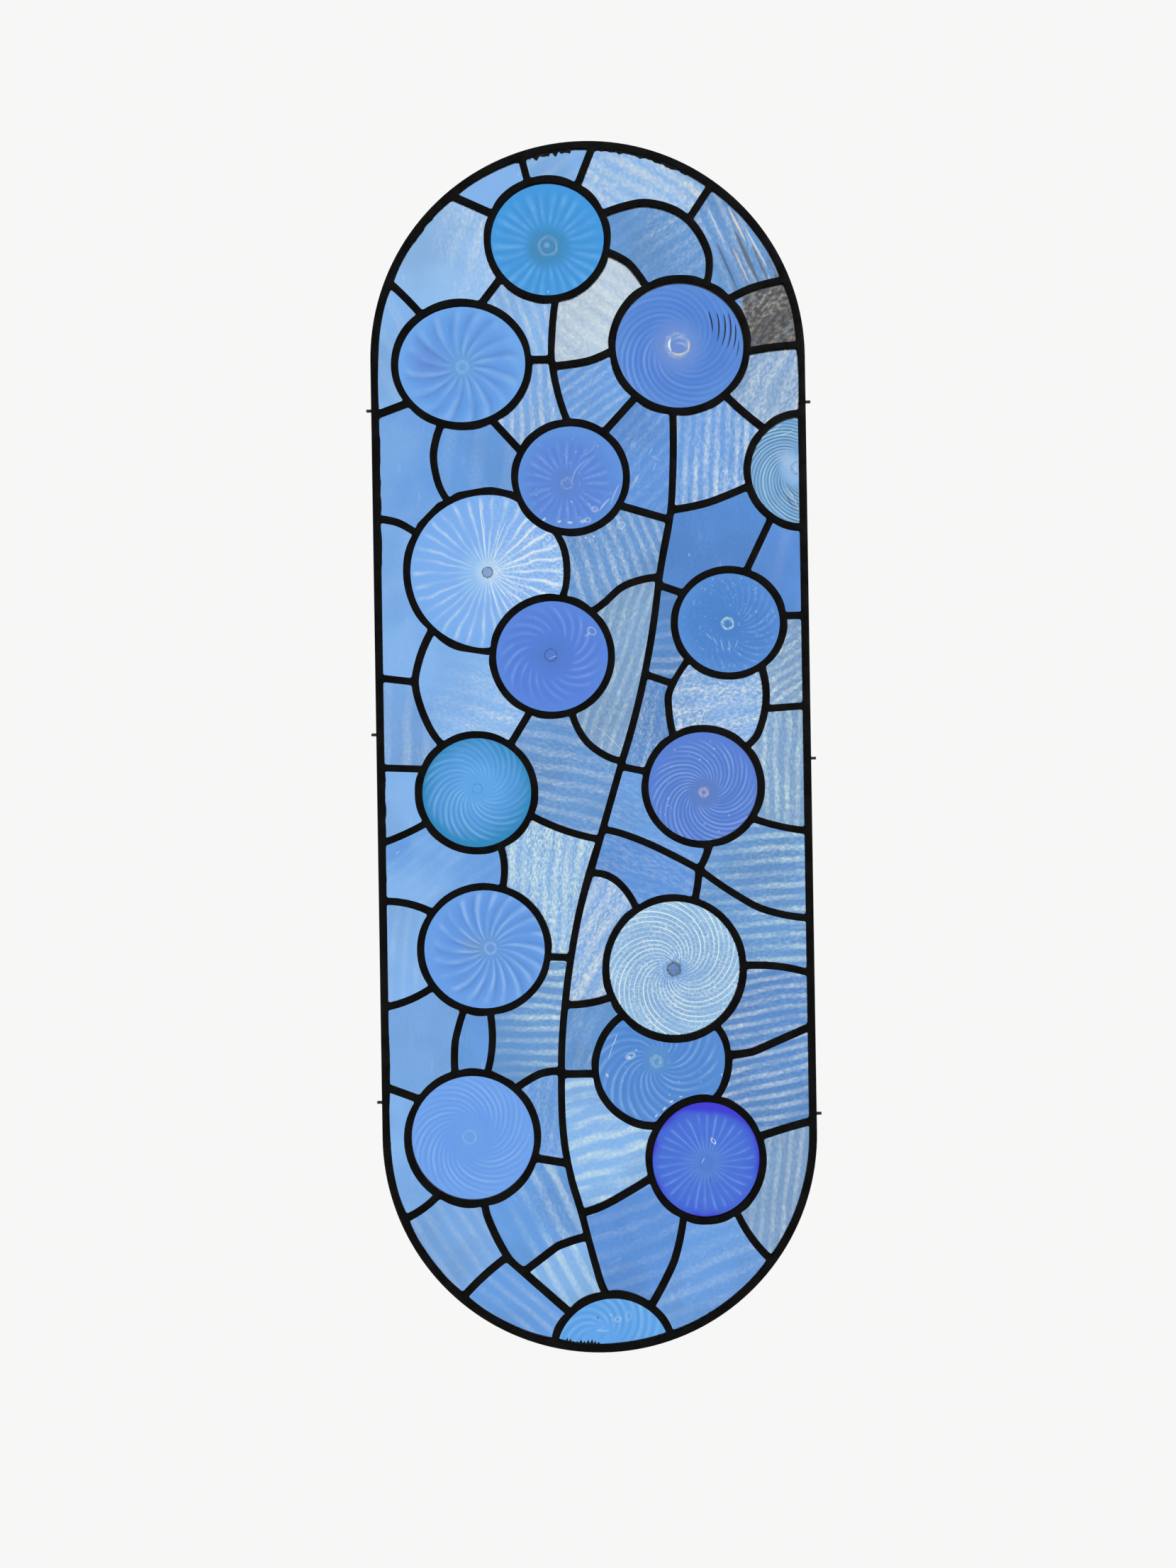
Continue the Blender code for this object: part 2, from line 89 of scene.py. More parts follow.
def selectFaces(piece, test):
    done()
    for face in piece.data.polygons:
        face.select = test(face)
    bpy.ops.object.mode_set(mode="EDIT")


def selectEdges(piece, test):
    # test gets the two ends of an edge and whether it is open
    done()
    uses = [0] * len(piece.data.edges)
    for loop in piece.data.loops:
        uses[loop.edge_index] += 1
    for part in (piece.data.polygons, piece.data.edges, piece.data.vertices):
        part.foreach_set("select", [False] * len(part))
    for edge, used in zip(piece.data.edges, uses):
        ends = [piece.data.vertices[i].co for i in edge.vertices]
        edge.select = test(*ends, used == 1)
    bpy.ops.object.mode_set(mode="EDIT")


def meshPiece(name, points, faces, edges=()):
    mesh = bpy.data.meshes.new(name)
    mesh.from_pydata([tuple(p) for p in points], list(edges), [tuple(f) for f in faces])
    mesh.update()
    piece = bpy.data.objects.new(name, mesh)
    bpy.context.scene.collection.objects.link(piece)
    return piece


def applyAll(piece):
    pick(piece)
    for modifier in list(piece.modifiers):
        bpy.ops.object.modifier_apply(modifier=modifier.name)


def finishPiece(piece, material, nodes, smoothAngle=40):
    pick(piece)
    piece.data.materials.clear()
    piece.data.materials.append(material)
    bpy.ops.object.shade_smooth_by_angle(angle=math.radians(smoothAngle))
    piece.select_set(False)
    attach(piece, "root")
    if nodes:
        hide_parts(*nodes)
    return piece


studio = {
    "lens": 26,  # mm on a 36 mm long side
    "fieldLong": 1.327,  # what the long side of the picture takes in at the panel, m
    "aim": (-0.0053, 0.0314),
    "roll": 0.9,  # degrees
    "overhead": (0.93, 0.93, 0.925),
    "below": (0.2, 0.2, 0.198),
    "floorDrop": 2.6,
    "floorSize": 110,
    "floorColour": (0.74, 0.735, 0.72),
    "softBoxes": [((1.6, -1.2, -1.5), 1.6, 16), ((-1.8, 1.0, -1.2), 1.8, 10)],
}


def setUpStudio():
    scene = bpy.context.scene
    scene.view_settings.view_transform = "Standard"
    scene.view_settings.look = "None"
    camera = bpy.data.cameras.new("camera")
    camera.lens = studio["lens"]
    camera.sensor_width = 36
    holder = bpy.data.objects.new("camera", camera)
    scene.collection.objects.link(holder)
    away = studio["lens"] / 36 * studio["fieldLong"]
    turn = math.radians(studio["roll"])
    right = Vector((math.cos(turn), math.sin(turn), 0))
    up = Vector((math.sin(turn), -math.cos(turn), 0))
    back = Vector((0, 0, -1))
    holder.matrix_world = Matrix((
        (right.x, up.x, back.x, studio["aim"][0]),
        (right.y, up.y, back.y, studio["aim"][1]),
        (right.z, up.z, back.z, -away),
        (0, 0, 0, 1),
    ))
    scene.camera = holder

    world = bpy.data.worlds.new("softSky")
    world.use_nodes = True
    scene.world = world
    tree = world.node_tree
    tree.nodes.clear()
    where = tree.nodes.new("ShaderNodeTexCoord")
    split = tree.nodes.new("ShaderNodeSeparateXYZ")
    fade = tree.nodes.new("ShaderNodeMapRange")
    fade.interpolation_type = "SMOOTHSTEP"
    fade.inputs["From Min"].default_value = -0.25
    fade.inputs["From Max"].default_value = 0.35
    blend = tree.nodes.new("ShaderNodeMix")
    blend.data_type = "RGBA"
    blend.inputs["A"].default_value = (*studio["below"], 1)
    blend.inputs["B"].default_value = (*studio["overhead"], 1)
    sky = tree.nodes.new("ShaderNodeBackground")
    out = tree.nodes.new("ShaderNodeOutputWorld")
    tree.links.new(where.outputs["Generated"], split.inputs[0])
    tree.links.new(split.outputs["Z"], fade.inputs["Value"])
    tree.links.new(fade.outputs["Result"], blend.inputs["Factor"])
    tree.links.new(blend.outputs["Result"], sky.inputs["Color"])
    tree.links.new(sky.outputs["Background"], out.inputs["Surface"])

    for index, (spot, size, power) in enumerate(studio["softBoxes"]):
        light = bpy.data.lights.new(f"softBox{index}", "AREA")
        light.shape = "SQUARE"
        light.size = size
        light.energy = power
        lamp = bpy.data.objects.new(f"softBox{index}", light)
        lamp.location = spot
        lamp.rotation_mode = "QUATERNION"
        lamp.rotation_quaternion = (-Vector(spot)).to_track_quat("-Z", "Y")
        scene.collection.objects.link(lamp)

    deselectAll()
    bpy.ops.mesh.primitive_plane_add(size=studio["floorSize"], location=(0, 0, -studio["floorDrop"]))
    floor = bpy.context.object
    floor.name = "floor"
    paint = bpy.data.materials.new("floorPaint")
    paint.use_nodes = True
    shader = paint.node_tree.nodes["Principled BSDF"]
    shader.inputs["Base Color"].default_value = (*studio["floorColour"], 1)
    shader.inputs["Roughness"].default_value = 0.9
    floor.data.materials.append(paint)


setUpStudio()
print("studio ready")


outlineShape = {
    "cornerAngle": 29,  # a sharper turn than this is a corner, degrees
    "cornerRound": 1.6 * mm,
    "turnPerStep": 6,  # degrees
    "longestStep": 9 * mm,
    "straightBow": 1.2 * mm,  # a long side that would bow this much is a straight one
    "narrower": 0.22 * mm,  # bright glass eats this much off each edge of the lead
    "easeShare": 0.42,  # the most of a side that an eased corner may take
}


def boundaryLoops():
    # the sky face of a merged copy of the net: its open edges are the outlines
    net = bpy.data.objects.new("netCopy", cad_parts["came_net"].data.copy())
    bpy.context.scene.collection.objects.link(net)
    edit(net)
    selectAll()
    bpy.ops.mesh.remove_doubles(threshold=0.001 * mm)
    top = max(v.co.z for v in net.data.vertices)
    selectFaces(net, lambda face: face.center.z < top - 0.05 * mm)
    bpy.ops.mesh.delete(type="FACE")
    done()
    flat = bmesh.new()
    flat.from_mesh(net.data)
    rims = [e for e in flat.edges if len(e.link_faces) == 1]
    nextTo = {}
    for e in rims:
        a, b = e.verts
        nextTo.setdefault(a, []).append(b)
        nextTo.setdefault(b, []).append(a)
    loops, seen = [], set()
    for start in nextTo:
        if start in seen:
            continue
        walk, last, here = [], None, start
        while here not in seen:
            seen.add(here)
            walk.append(Vector((here.co.x, here.co.y)))
            ahead = [v for v in nextTo[here] if v is not last and v not in seen]
            last = here
            if ahead:
                here = ahead[0]
        loops.append(walk)
    flat.free()
    bpy.data.objects.remove(net)
    return [loop for loop in loops if len(loop) > 4]  # a shorter one is a stray sliver


def loopArea(points):
    return 0.5 * sum(a.x * b.y - b.x * a.y for a, b in zip(points, points[1:] + points[:1]))


def turnAt(a, b, c):
    return abs((b - a).angle_signed(c - b, 0)) if (b - a).length and (c - b).length else 0


def smoothSpan(points, closed):
    # arcs through the points, each span as finely as it bends
    count = len(points)
    tangents = []
    for i in range(count):
        if closed or 0 < i < count - 1:
            before = points[i] - points[i - 1]
            after = points[(i + 1) % count] - points[i]
            tangents.append((before / before.length_squared + after / after.length_squared).normalized())
        else:
            tangents.append(None)
    if not closed:
        for end, inner in ((0, 1), (count - 1, count - 2)):
            chord = (points[inner] - points[end]).normalized()
            if tangents[inner] is None:
                tangents[end] = (points[-1] - points[0]).normalized()
            else:
                tangents[end] = 2 * tangents[inner].dot(chord) * chord - tangents[inner]
    spans = [(i, (i + 1) % count) for i in range(count if closed else count - 1)]
    for i, j in spans:
        chord = points[j] - points[i]
        bow = chord.length / 2 * math.tan(abs(tangents[i].angle_signed(tangents[j], 0)) / 4)
        if bow > outlineShape["straightBow"]:
            tangents[i] = tangents[j] = chord.normalized()
    out = []
    for i, j in spans:
        a, b, ta, tb = points[i], points[j], tangents[i], tangents[j]
        length = (b - a).length
        bend = math.degrees(abs(ta.angle_signed(tb, 0)))
        steps = max(1, math.ceil(bend / outlineShape["turnPerStep"]),
                    math.ceil(length / outlineShape["longestStep"]))
        reach = length / 3 / max(0.5, math.cos(math.radians(bend) / 4) ** 2)
        for step in range(steps):
            t = step / steps
            s = 1 - t
            out.append(s ** 3 * a + 3 * s * s * t * (a + ta * reach)
                       + 3 * s * t * t * (b - tb * reach) + t ** 3 * b)
    if not closed:
        out.append(points[-1])
    return out


def smoothOutline(points):
    count = len(points)
    corners = [i for i in range(count)
               if math.degrees(turnAt(points[i - 1], points[i], points[(i + 1) % count]))
               > outlineShape["cornerAngle"]]
    if not corners:
        return smoothSpan(points, True)
    spans = []
    for k, first in enumerate(corners):
        last = corners[(k + 1) % len(corners)]
        size = (last - first) % count or count
        spans.append(smoothSpan([points[(first + i) % count] for i in range(size + 1)], False))
    out = []
    for k, span in enumerate(spans):
        # each corner is eased with a short curve
        before = spans[k - 1]
        corner = span[0]
        shortest = min((span[1] - corner).length, (before[-2] - corner).length)
        room = min(outlineShape["cornerRound"], outlineShape["easeShare"] * shortest)
        a = corner + (before[-2] - corner).normalized() * room
        b = corner + (span[1] - corner).normalized() * room
        out += [a, 0.25 * a + 0.5 * corner + 0.25 * b, b]
        out += span[1:-1]
    return out


def distanceTo(point, outline):
    best = 1.0
    for a, b in zip(outline, outline[1:] + outline[:1]):
        side = b - a
        share = min(1, max(0, (point - a).dot(side) / max(side.length_squared, 1e-12)))
        best = min(best, (a + side * share - point).length)
    return best


def grown(points, by):
    # every point moves out by the same distance, so sharp corners come out rounded
    out = []
    count = len(points)
    for i, point in enumerate(points):
        before = (point - points[i - 1]).normalized()
        after = (points[(i + 1) % count] - point).normalized()
        normal = Vector((before.y + after.y, -before.x - after.x)).normalized()
        moved = point + normal * by
        if distanceTo(moved, points) > 0.93 * by:  # else it fell inside a hollow
            out.append(moved)
    return uncrossed(out)


def uncrossed(points):
    # takes out the small loops where neighbouring sides cross
    def turn(p, q, r):
        return (q.x - p.x) * (r.y - p.y) - (q.y - p.y) * (r.x - p.x)

    i = 0
    while i < len(points):
        for ahead in range(8, 1, -1):
            a, b, c, d = (points[(i + k) % len(points)] for k in (0, 1, ahead, ahead + 1))
            if turn(a, b, c) * turn(a, b, d) < 0 and turn(c, d, a) * turn(c, d, b) < 0:
                drop = {(i + k) % len(points) for k in range(1, ahead + 1)}
                points = [q for k, q in enumerate(points) if k not in drop]
                i = -1
                break
        i += 1
    return points


def inside(point, outline):
    hit = False
    j = len(outline) - 1
    for i, a in enumerate(outline):
        b = outline[j]
        if (a.y > point.y) != (b.y > point.y):
            if point.x < (b.x - a.x) * (point.y - a.y) / (b.y - a.y) + a.x:
                hit = not hit
        j = i
    return hit


rawLoops = boundaryLoops()
rawLoops.sort(key=lambda loop: -abs(loopArea(loop)))
outlines = []
for loop in rawLoops:
    if loopArea(loop) < 0:
        loop.reverse()
    outlines.append(smoothOutline(loop))
cells = [grown(outline, outlineShape["narrower"]) for outline in outlines[1:]]
outlines = outlines[:1] + cells
print("outlines:", len(cells), "cells,", sum(map(len, cells)), "points")


def cellAt(right, up):
    spot = Vector(place(right, up))
    for outline in cells:
        if inside(spot, outline):
            return outline
    raise SystemExit(f"no cell at {right}, {up}")


def addNode(tree, kind, inputs=None, **settings):
    made = tree.nodes.new(kind)
    for key, value in settings.items():
        setattr(made, key, value)
    for key, value in (inputs or {}).items():
        if isinstance(value, bpy.types.NodeSocket):
            tree.links.new(value, made.inputs[key])
        else:
            made.inputs[key].default_value = value
    return made


def calc(tree, operation, *values):
    made = tree.nodes.new("ShaderNodeMath")
    made.operation = operation
    for socket, value in zip(made.inputs, values):
        if isinstance(value, bpy.types.NodeSocket):
            tree.links.new(value, socket)
        else:
            socket.default_value = value
    return made.outputs[0]


def plus(tree, first, second):
    return calc(tree, "ADD", first, second)


def minus(tree, first, second):
    return calc(tree, "SUBTRACT", first, second)


def times(tree, product, *values):
    for value in values:
        product = calc(tree, "MULTIPLY", product, value)
    return product


def ramp(tree, value, low, high, toLow=0.0, toHigh=1.0, soft=True):
    made = addNode(tree, "ShaderNodeMapRange", {"From Min": low, "From Max": high, "To Min": toLow,
                                                "To Max": toHigh, "Value": value})
    if soft:
        made.interpolation_type = "SMOOTHSTEP"
    return made.outputs["Result"]


def tone(tree, mask, under, over):
    made = tree.nodes.new("ShaderNodeMix")
    made.data_type = "RGBA"
    for socket, value in ((made.inputs["Factor"], mask), (made.inputs[6], under), (made.inputs[7], over)):
        if isinstance(value, bpy.types.NodeSocket):
            tree.links.new(value, socket)
        elif isinstance(value, tuple) and len(value) == 3:
            socket.default_value = (*value, 1)
        else:
            socket.default_value = value
    return made.outputs[2]


def noiseAt(tree, vector, scale, detail, roughness=0.5):
    return addNode(tree, "ShaderNodeTexNoise", {"Vector": vector, "Scale": scale, "Detail": detail,
                                                "Roughness": roughness}).outputs[0]


def partly(tree, mask, share):
    # the mask where share is 1, all let through where it is 0
    return plus(tree, minus(tree, 1, share), times(tree, mask, share))


def newGroup(name, inputs, outputs):
    group = bpy.data.node_groups.new(name, "ShaderNodeTree")
    for label, default in inputs.items():
        kind = "NodeSocketVector" if default is None else "NodeSocketFloat"
        socket = group.interface.new_socket(label, in_out="INPUT", socket_type=kind)
        if default is not None:
            socket.default_value = default
    for label in outputs:
        group.interface.new_socket(label, in_out="OUTPUT", socket_type="NodeSocketFloat")
    start = group.nodes.new("NodeGroupInput")
    end = group.nodes.new("NodeGroupOutput")
    return group, start.outputs, end.inputs


def useGroup(tree, group, inputs):
    made = tree.nodes.new("ShaderNodeGroup")
    made.node_tree = group
    for key, value in inputs.items():
        if isinstance(value, bpy.types.NodeSocket):
            tree.links.new(value, made.inputs[key])
        else:
            made.inputs[key].default_value = value
    return made.outputs


def flatVector(tree, vector, scaleX, scaleY):
    # the pattern runs straight through the sheet, so height is left out
    split = addNode(tree, "ShaderNodeSeparateXYZ", {0: vector})
    x = times(tree, split.outputs[0], scaleX)
    y = times(tree, split.outputs[1], scaleY)
    return addNode(tree, "ShaderNodeCombineXYZ", {0: x, 1: y}).outputs[0]


def makeBands():
    # wavy bands along the pattern's X that come and go: 0 clear, 1 white
    group, given, result = newGroup("bands", {"Vector": None, "Spacing": 0.01, "Bend": 0.016, "Width": 0.7,
                                              "Patchy": 0.6, "Seed": 0}, ["Mask"])
    t = group
    seed = addNode(t, "ShaderNodeCombineXYZ", {axis: given["Seed"] for axis in range(3)}).outputs[0]
    moved = addNode(t, "ShaderNodeVectorMath", {0: given["Vector"], 1: seed}, operation="ADD").outputs[0]
    slow = noiseAt(t, moved, 12, 2)
    split = addNode(t, "ShaderNodeSeparateXYZ", {0: given["Vector"]}).outputs
    across = calc(t, "MULTIPLY_ADD", minus(t, slow, 0.5), given["Bend"], split[1])
    turns = calc(t, "DIVIDE", across, given["Spacing"])
    wave = calc(t, "MULTIPLY_ADD", calc(t, "COSINE", times(t, turns, 2 * math.pi)), 0.5, 0.5)
    band = ramp(t, wave, minus(t, 0.85, given["Width"]), 1.0)
    along = calc(t, "DIVIDE", 0.28, given["Spacing"])
    flat = flatVector(t, moved, along, times(t, along, 3.2))
    flat = addNode(t, "ShaderNodeVectorMath", {0: flat, 1: seed}, operation="ADD").outputs[0]
    patch = ramp(t, noiseAt(t, flat, 1.0, 3), 0.34, 0.64)
    t.links.new(times(t, band, partly(t, patch, given["Patchy"])), result["Mask"])
    return group


def makeSmoke():
    # dark clouds, drawn out along the pattern's X
    group, given, result = newGroup("smoke", {"Vector": None, "Scale": 60, "Stretch": 2, "Cover": 0.5,
                                              "Soft": 0.15}, ["Mask"])
    t = group
    flat = flatVector(t, given["Vector"], calc(t, "DIVIDE", given["Scale"], given["Stretch"]), given["Scale"])
    cloud = noiseAt(t, flat, 1.0, 6, 0.62)
    low = minus(t, 0.72, times(t, given["Cover"], 0.5))
    t.links.new(ramp(t, cloud, low, plus(t, low, given["Soft"])), result["Mask"])
    return group


def makeToSide():
    # 0 on one side of the middle, 1 on the other, with an uneven border between
    group, given, result = newGroup("toSide", {"Vector": None, "Heading": 0, "Reach": 0.03, "Uneven": 0.03},
                                    ["Mask"])
    t = group
    bend = noiseAt(t, given["Vector"], 26, 3)
    split = addNode(t, "ShaderNodeSeparateXYZ", {0: given["Vector"]}).outputs
    along = plus(t, times(t, split[0], calc(t, "COSINE", given["Heading"])),
                 times(t, split[1], calc(t, "SINE", given["Heading"])))
    along = calc(t, "MULTIPLY_ADD", minus(t, bend, 0.5), given["Uneven"], along)
    low = times(t, given["Reach"], -0.75)
    high = times(t, given["Reach"], 0.9)
    t.links.new(ramp(t, along, low, high), result["Mask"])
    return group


def makeGrain():
    # frosty speckle in fine and coarser flecks, a little stretched along X
    group, given, result = newGroup("grain", {"Vector": None, "Scale": 420, "Stretch": 1.7}, ["Mask"])
    t = group
    flat = flatVector(t, given["Vector"], calc(t, "DIVIDE", given["Scale"], given["Stretch"]), given["Scale"])
    fine = ramp(t, noiseAt(t, flat, 1.0, 4, 0.75), 0.42, 0.62)
    broad = ramp(t, noiseAt(t, flat, 0.13, 3), 0.32, 0.68, 0.35, 1)
    t.links.new(times(t, fine, broad), result["Mask"])
    return group


def makeSeeds():
    # scattered bubbles, drawn out along X
    group, given, result = newGroup("seeds", {"Vector": None, "Scale": 90, "Stretch": 2, "Size": 0.14,
                                              "Share": 0.3}, ["Mask"])
    t = group
    flat = flatVector(t, given["Vector"], calc(t, "DIVIDE", given["Scale"], given["Stretch"]), given["Scale"])
    dots = addNode(t, "ShaderNodeTexVoronoi", {"Vector": flat, "Scale": 1.0})
    own = addNode(t, "ShaderNodeSeparateColor", {0: dots.outputs["Color"]}).outputs
    chosen = calc(t, "LESS_THAN", own[0], given["Share"])
    size = times(t, given["Size"], own[1])
    dot = ramp(t, dots.outputs["Distance"], times(t, size, 0.5), plus(t, size, 0.02), 1, 0)
    t.links.new(times(t, dot, chosen), result["Mask"])
    return group


def makeScratches():
    # hair lines along X that come and go
    group, given, result = newGroup("scratches", {"Vector": None, "Scale": 160, "Stretch": 22, "Width": 0.02,
                                                  "Share": 0.5}, ["Mask"])
    t = group
    flat = flatVector(t, given["Vector"], calc(t, "DIVIDE", given["Scale"], given["Stretch"]), given["Scale"])
    off = calc(t, "ABSOLUTE", minus(t, noiseAt(t, flat, 1.0, 1.5), 0.5))
    line = ramp(t, off, 0, given["Width"], 1, 0)
    here = noiseAt(t, given["Vector"], 45, 2)
    gate = ramp(t, here, minus(t, 0.72, times(t, given["Share"], 0.4)), 0.74)
    t.links.new(times(t, line, gate), result["Mask"])
    return group


def makeStroke():
    # one streak along X that tapers to both ends, bent by Curve, with ragged edges
    group, given, result = newGroup("stroke", {"Vector": None, "Long": 0.02, "Wide": 0.001, "Curve": 0,
                                               "Ragged": 0.5}, ["Mask"])
    t = group
    split = addNode(t, "ShaderNodeSeparateXYZ", {0: given["Vector"]}).outputs
    square = times(t, split[0], split[0])
    off = calc(t, "ABSOLUTE", minus(t, split[1], times(t, square, given["Curve"])))
    share = calc(t, "DIVIDE", square, times(t, given["Long"], given["Long"]))
    taper = calc(t, "MAXIMUM", minus(t, 1, share), 0)
    rough = noiseAt(t, given["Vector"], 380, 3)
    ragged = minus(t, 1, times(t, rough, given["Ragged"]))
    edge = times(t, given["Wide"], calc(t, "POWER", taper, 0.6), ragged)
    line = ramp(t, off, times(t, edge, 0.45), plus(t, edge, 0.00002), 1, 0)
    t.links.new(times(t, line, calc(t, "GREATER_THAN", taper, 0)), result["Mask"])
    return group


def radial(t, vector):
    # angle and distance from the middle
    split = addNode(t, "ShaderNodeSeparateXYZ", {0: vector}).outputs
    square = plus(t, times(t, split[0], split[0]), times(t, split[1], split[1]))
    return calc(t, "ARCTAN2", split[1], split[0]), calc(t, "SQRT", square)


def makeSparkle():
    # glints scattered between two radii
    group, given, result = newGroup("sparkle", {"Vector": None, "Scale": 500, "Share": 0.1, "From": 0,
                                                "To": 0.006}, ["Mask"])
    t = group
    away = radial(t, given["Vector"])[1]
    dots = addNode(t, "ShaderNodeTexVoronoi", {"Vector": given["Vector"], "Scale": given["Scale"]})
    own = addNode(t, "ShaderNodeSeparateColor", {0: dots.outputs["Color"]}).outputs
    chosen = calc(t, "LESS_THAN", own[0], given["Share"])
    dot = ramp(t, dots.outputs["Distance"], 0.12, calc(t, "MULTIPLY_ADD", own[1], 0.3, 0.2), 1, 0)
    start = ramp(t, away, given["From"], plus(t, given["From"], 0.001))
    stop = ramp(t, away, given["To"], plus(t, given["To"], 0.002), 1, 0)
    t.links.new(times(t, dot, chosen, start, stop), result["Mask"])
    return group


def makeSpun():
    # ribs that turn out from the middle of a spun roundel, each of its own strength. Light peaks on
    # each rib's crest and is painted on as a highlight; Shade peaks just beside it and is painted shade
    group, given, result = newGroup("spun", {
        "Vector": None, "Ribs": 24, "Twist": 0, "Sharp": 3, "From": 0.006, "To": 0.045, "Fade": 0.01,
        "Loose": 1.2, "Bead": 0.3, "Faint": 0.18, "Side": 0, "SideShare": 0}, ["Light", "Shade", "Side"])
    t = group
    angle, away = radial(t, given["Vector"])
    slow = noiseAt(t, given["Vector"], 34, 2)
    turned = calc(t, "MULTIPLY_ADD", angle, given["Ribs"], times(t, away, given["Twist"]))
    phase = calc(t, "MULTIPLY_ADD", minus(t, slow, 0.5), given["Loose"], turned)
    # noise read along the unwound ribs gives each rib its own strength
    unwound = calc(t, "DIVIDE", turned, given["Ribs"])
    around = times(t, given["Ribs"], 0.2)
    own = addNode(t, "ShaderNodeCombineXYZ", {
        0: times(t, calc(t, "COSINE", unwound), around),
        1: times(t, calc(t, "SINE", unwound), around),
        2: times(t, away, 40)}).outputs[0]
    own = ramp(t, noiseAt(t, own, 1.0, 1), 0.3, 0.66, given["Faint"], 1)
    beads = ramp(t, noiseAt(t, given["Vector"], 300, 3), 0.36, 0.62, minus(t, 1, given["Bead"]), 1)
    start = ramp(t, away, given["From"], plus(t, given["From"], given["Fade"]))
    stop = ramp(t, away, minus(t, given["To"], given["Fade"]), given["To"], 1, 0)
    facing = calc(t, "MULTIPLY_ADD", calc(t, "COSINE", minus(t, angle, given["Side"])), 0.5, 0.5)
    facing = calc(t, "POWER", facing, 1.6)
    shared = times(t, own, beads, start, stop, partly(t, facing, given["SideShare"]))
    # Light: painted highlight along each rib's crest. Shade: painted shade on the side of each rib
    for label, lag in (("Light", 0), ("Shade", 2.1)):
        wave = calc(t, "MULTIPLY_ADD", calc(t, "COSINE", plus(t, phase, lag)), 0.5, 0.5)
        t.links.new(times(t, calc(t, "POWER", wave, given["Sharp"]), shared), result[label])
    t.links.new(facing, result["Side"])
    return group


def makePontil():
    # the scar in the middle, or a bubble: a ring and what is inside it
    group, given, result = newGroup("pontil", {"Vector": None, "Size": 0.005, "Rim": 0.001, "Wobble": 0.002},
                                    ["Ring", "Inside", "Glow"])
    t = group
    bend = noiseAt(t, given["Vector"], 190, 3)
    away = radial(t, given["Vector"])[1]
    away = calc(t, "MULTIPLY_ADD", minus(t, bend, 0.5), given["Wobble"], away)
    off = calc(t, "ABSOLUTE", minus(t, away, given["Size"]))
    t.links.new(ramp(t, off, times(t, given["Rim"], 0.3), given["Rim"], 1, 0), result["Ring"])
    t.links.new(ramp(t, away, minus(t, given["Size"], given["Rim"]), given["Size"], 1, 0),
                result["Inside"])
    t.links.new(ramp(t, away, given["Size"], times(t, given["Size"], 3.2), 1, 0), result["Glow"])
    return group


def makePatina():
    # dull black lead: blotches and fine pitting
    group, given, result = newGroup("patina", {"Vector": None, "Blotch": 70, "Pit": 900}, ["Blotch", "Pit"])
    t = group
    broad = noiseAt(t, given["Vector"], given["Blotch"], 5, 0.6)
    fine = noiseAt(t, given["Vector"], given["Pit"], 3)
    t.links.new(ramp(t, broad, 0.35, 0.68), result["Blotch"])
    t.links.new(ramp(t, fine, 0.3, 0.7), result["Pit"])
    return group


bands = makeBands()
smoke = makeSmoke()
toSide = makeToSide()
grain = makeGrain()
seeds = makeSeeds()
scratches = makeScratches()
stroke = makeStroke()
sparkle = makeSparkle()
spun = makeSpun()
pontil = makePontil()
patina = makePatina()


def asLit(red, green, blue):
    # a colour as it looks with daylight behind it, 0 to 255, to the glass's own colour
    out = []
    for value in (red, green, blue):
        value /= 255
        linear = value / 12.92 if value <= 0.04045 else ((value + 0.055) / 1.055) ** 2.4
        out.append(min(1.0, max(0.0, (linear - 0.015) / 0.86)))
    return tuple(out)


# what marks in the glass look like against daylight
inks = {
    "black": asLit(12, 14, 18), "grey": asLit(84, 88, 92), "shade": asLit(74, 112, 172),
    "white": asLit(232, 240, 246), "warm": asLit(244, 214, 186), "green": asLit(206, 236, 222),
    "mist": asLit(178, 200, 222),
}


def centred(tree, where, right, up, degrees=0, wide=1, long=1):
    # coordinates measured from a place on the panel, turned and stretched
    x, y = place(right, up)
    return addNode(tree, "ShaderNodeMapping", {
        "Vector": where, "Location": (x, y, 0), "Rotation": (0, 0, -math.radians(degrees)),
        "Scale": (wide, long, 1),
    }, vector_type="TEXTURE").outputs[0]


def addMarks(tree, where, colour, marks):
    # after its kind, ink and strength each mark has its place (right, up) and its lean in degrees. Then a
    # streak has half its length, half its width and its curve, and a bubble or spot its size, how many
    # times as long as wide it is, and its rim.
    for kind, ink, strength, right, up, degrees, size, width, bent in marks:
        if kind == "streak":
            vector = centred(tree, where, right, up, degrees)
            mask = useGroup(tree, stroke, {"Vector": vector, "Long": size * mm, "Wide": width * mm,
                                           "Curve": bent})["Mask"]
        else:
            vector = centred(tree, where, right, up, degrees, width, 1)
            bubble = useGroup(tree, pontil, {"Vector": vector, "Size": size * mm, "Rim": bent * mm,
                                             "Wobble": size * 0.5 * mm})
            mask = bubble["Ring"] if kind == "bubble" else bubble["Inside"]
        colour = tone(tree, times(tree, mask, strength), colour, inks[ink])
    return colour


def newMaterial(name):
    material = bpy.data.materials.new(name)
    material.use_nodes = True
    tree = material.node_tree
    return material, tree, tree.nodes["Principled BSDF"]


def glassShader(name):
    material, tree, shader = newMaterial(name)
    shader.inputs["Transmission Weight"].default_value = 1.0
    shader.inputs["IOR"].default_value = 1.5
    return material, tree, shader


def connect(tree, shader, colour, rough, height, strength, depth):
    bump = addNode(tree, "ShaderNodeBump", {"Strength": strength, "Distance": depth, "Height": height})
    for socket, label in ((colour, "Base Color"), (rough, "Roughness"), (bump.outputs[0], "Normal")):
        tree.links.new(socket, shader.inputs[label])


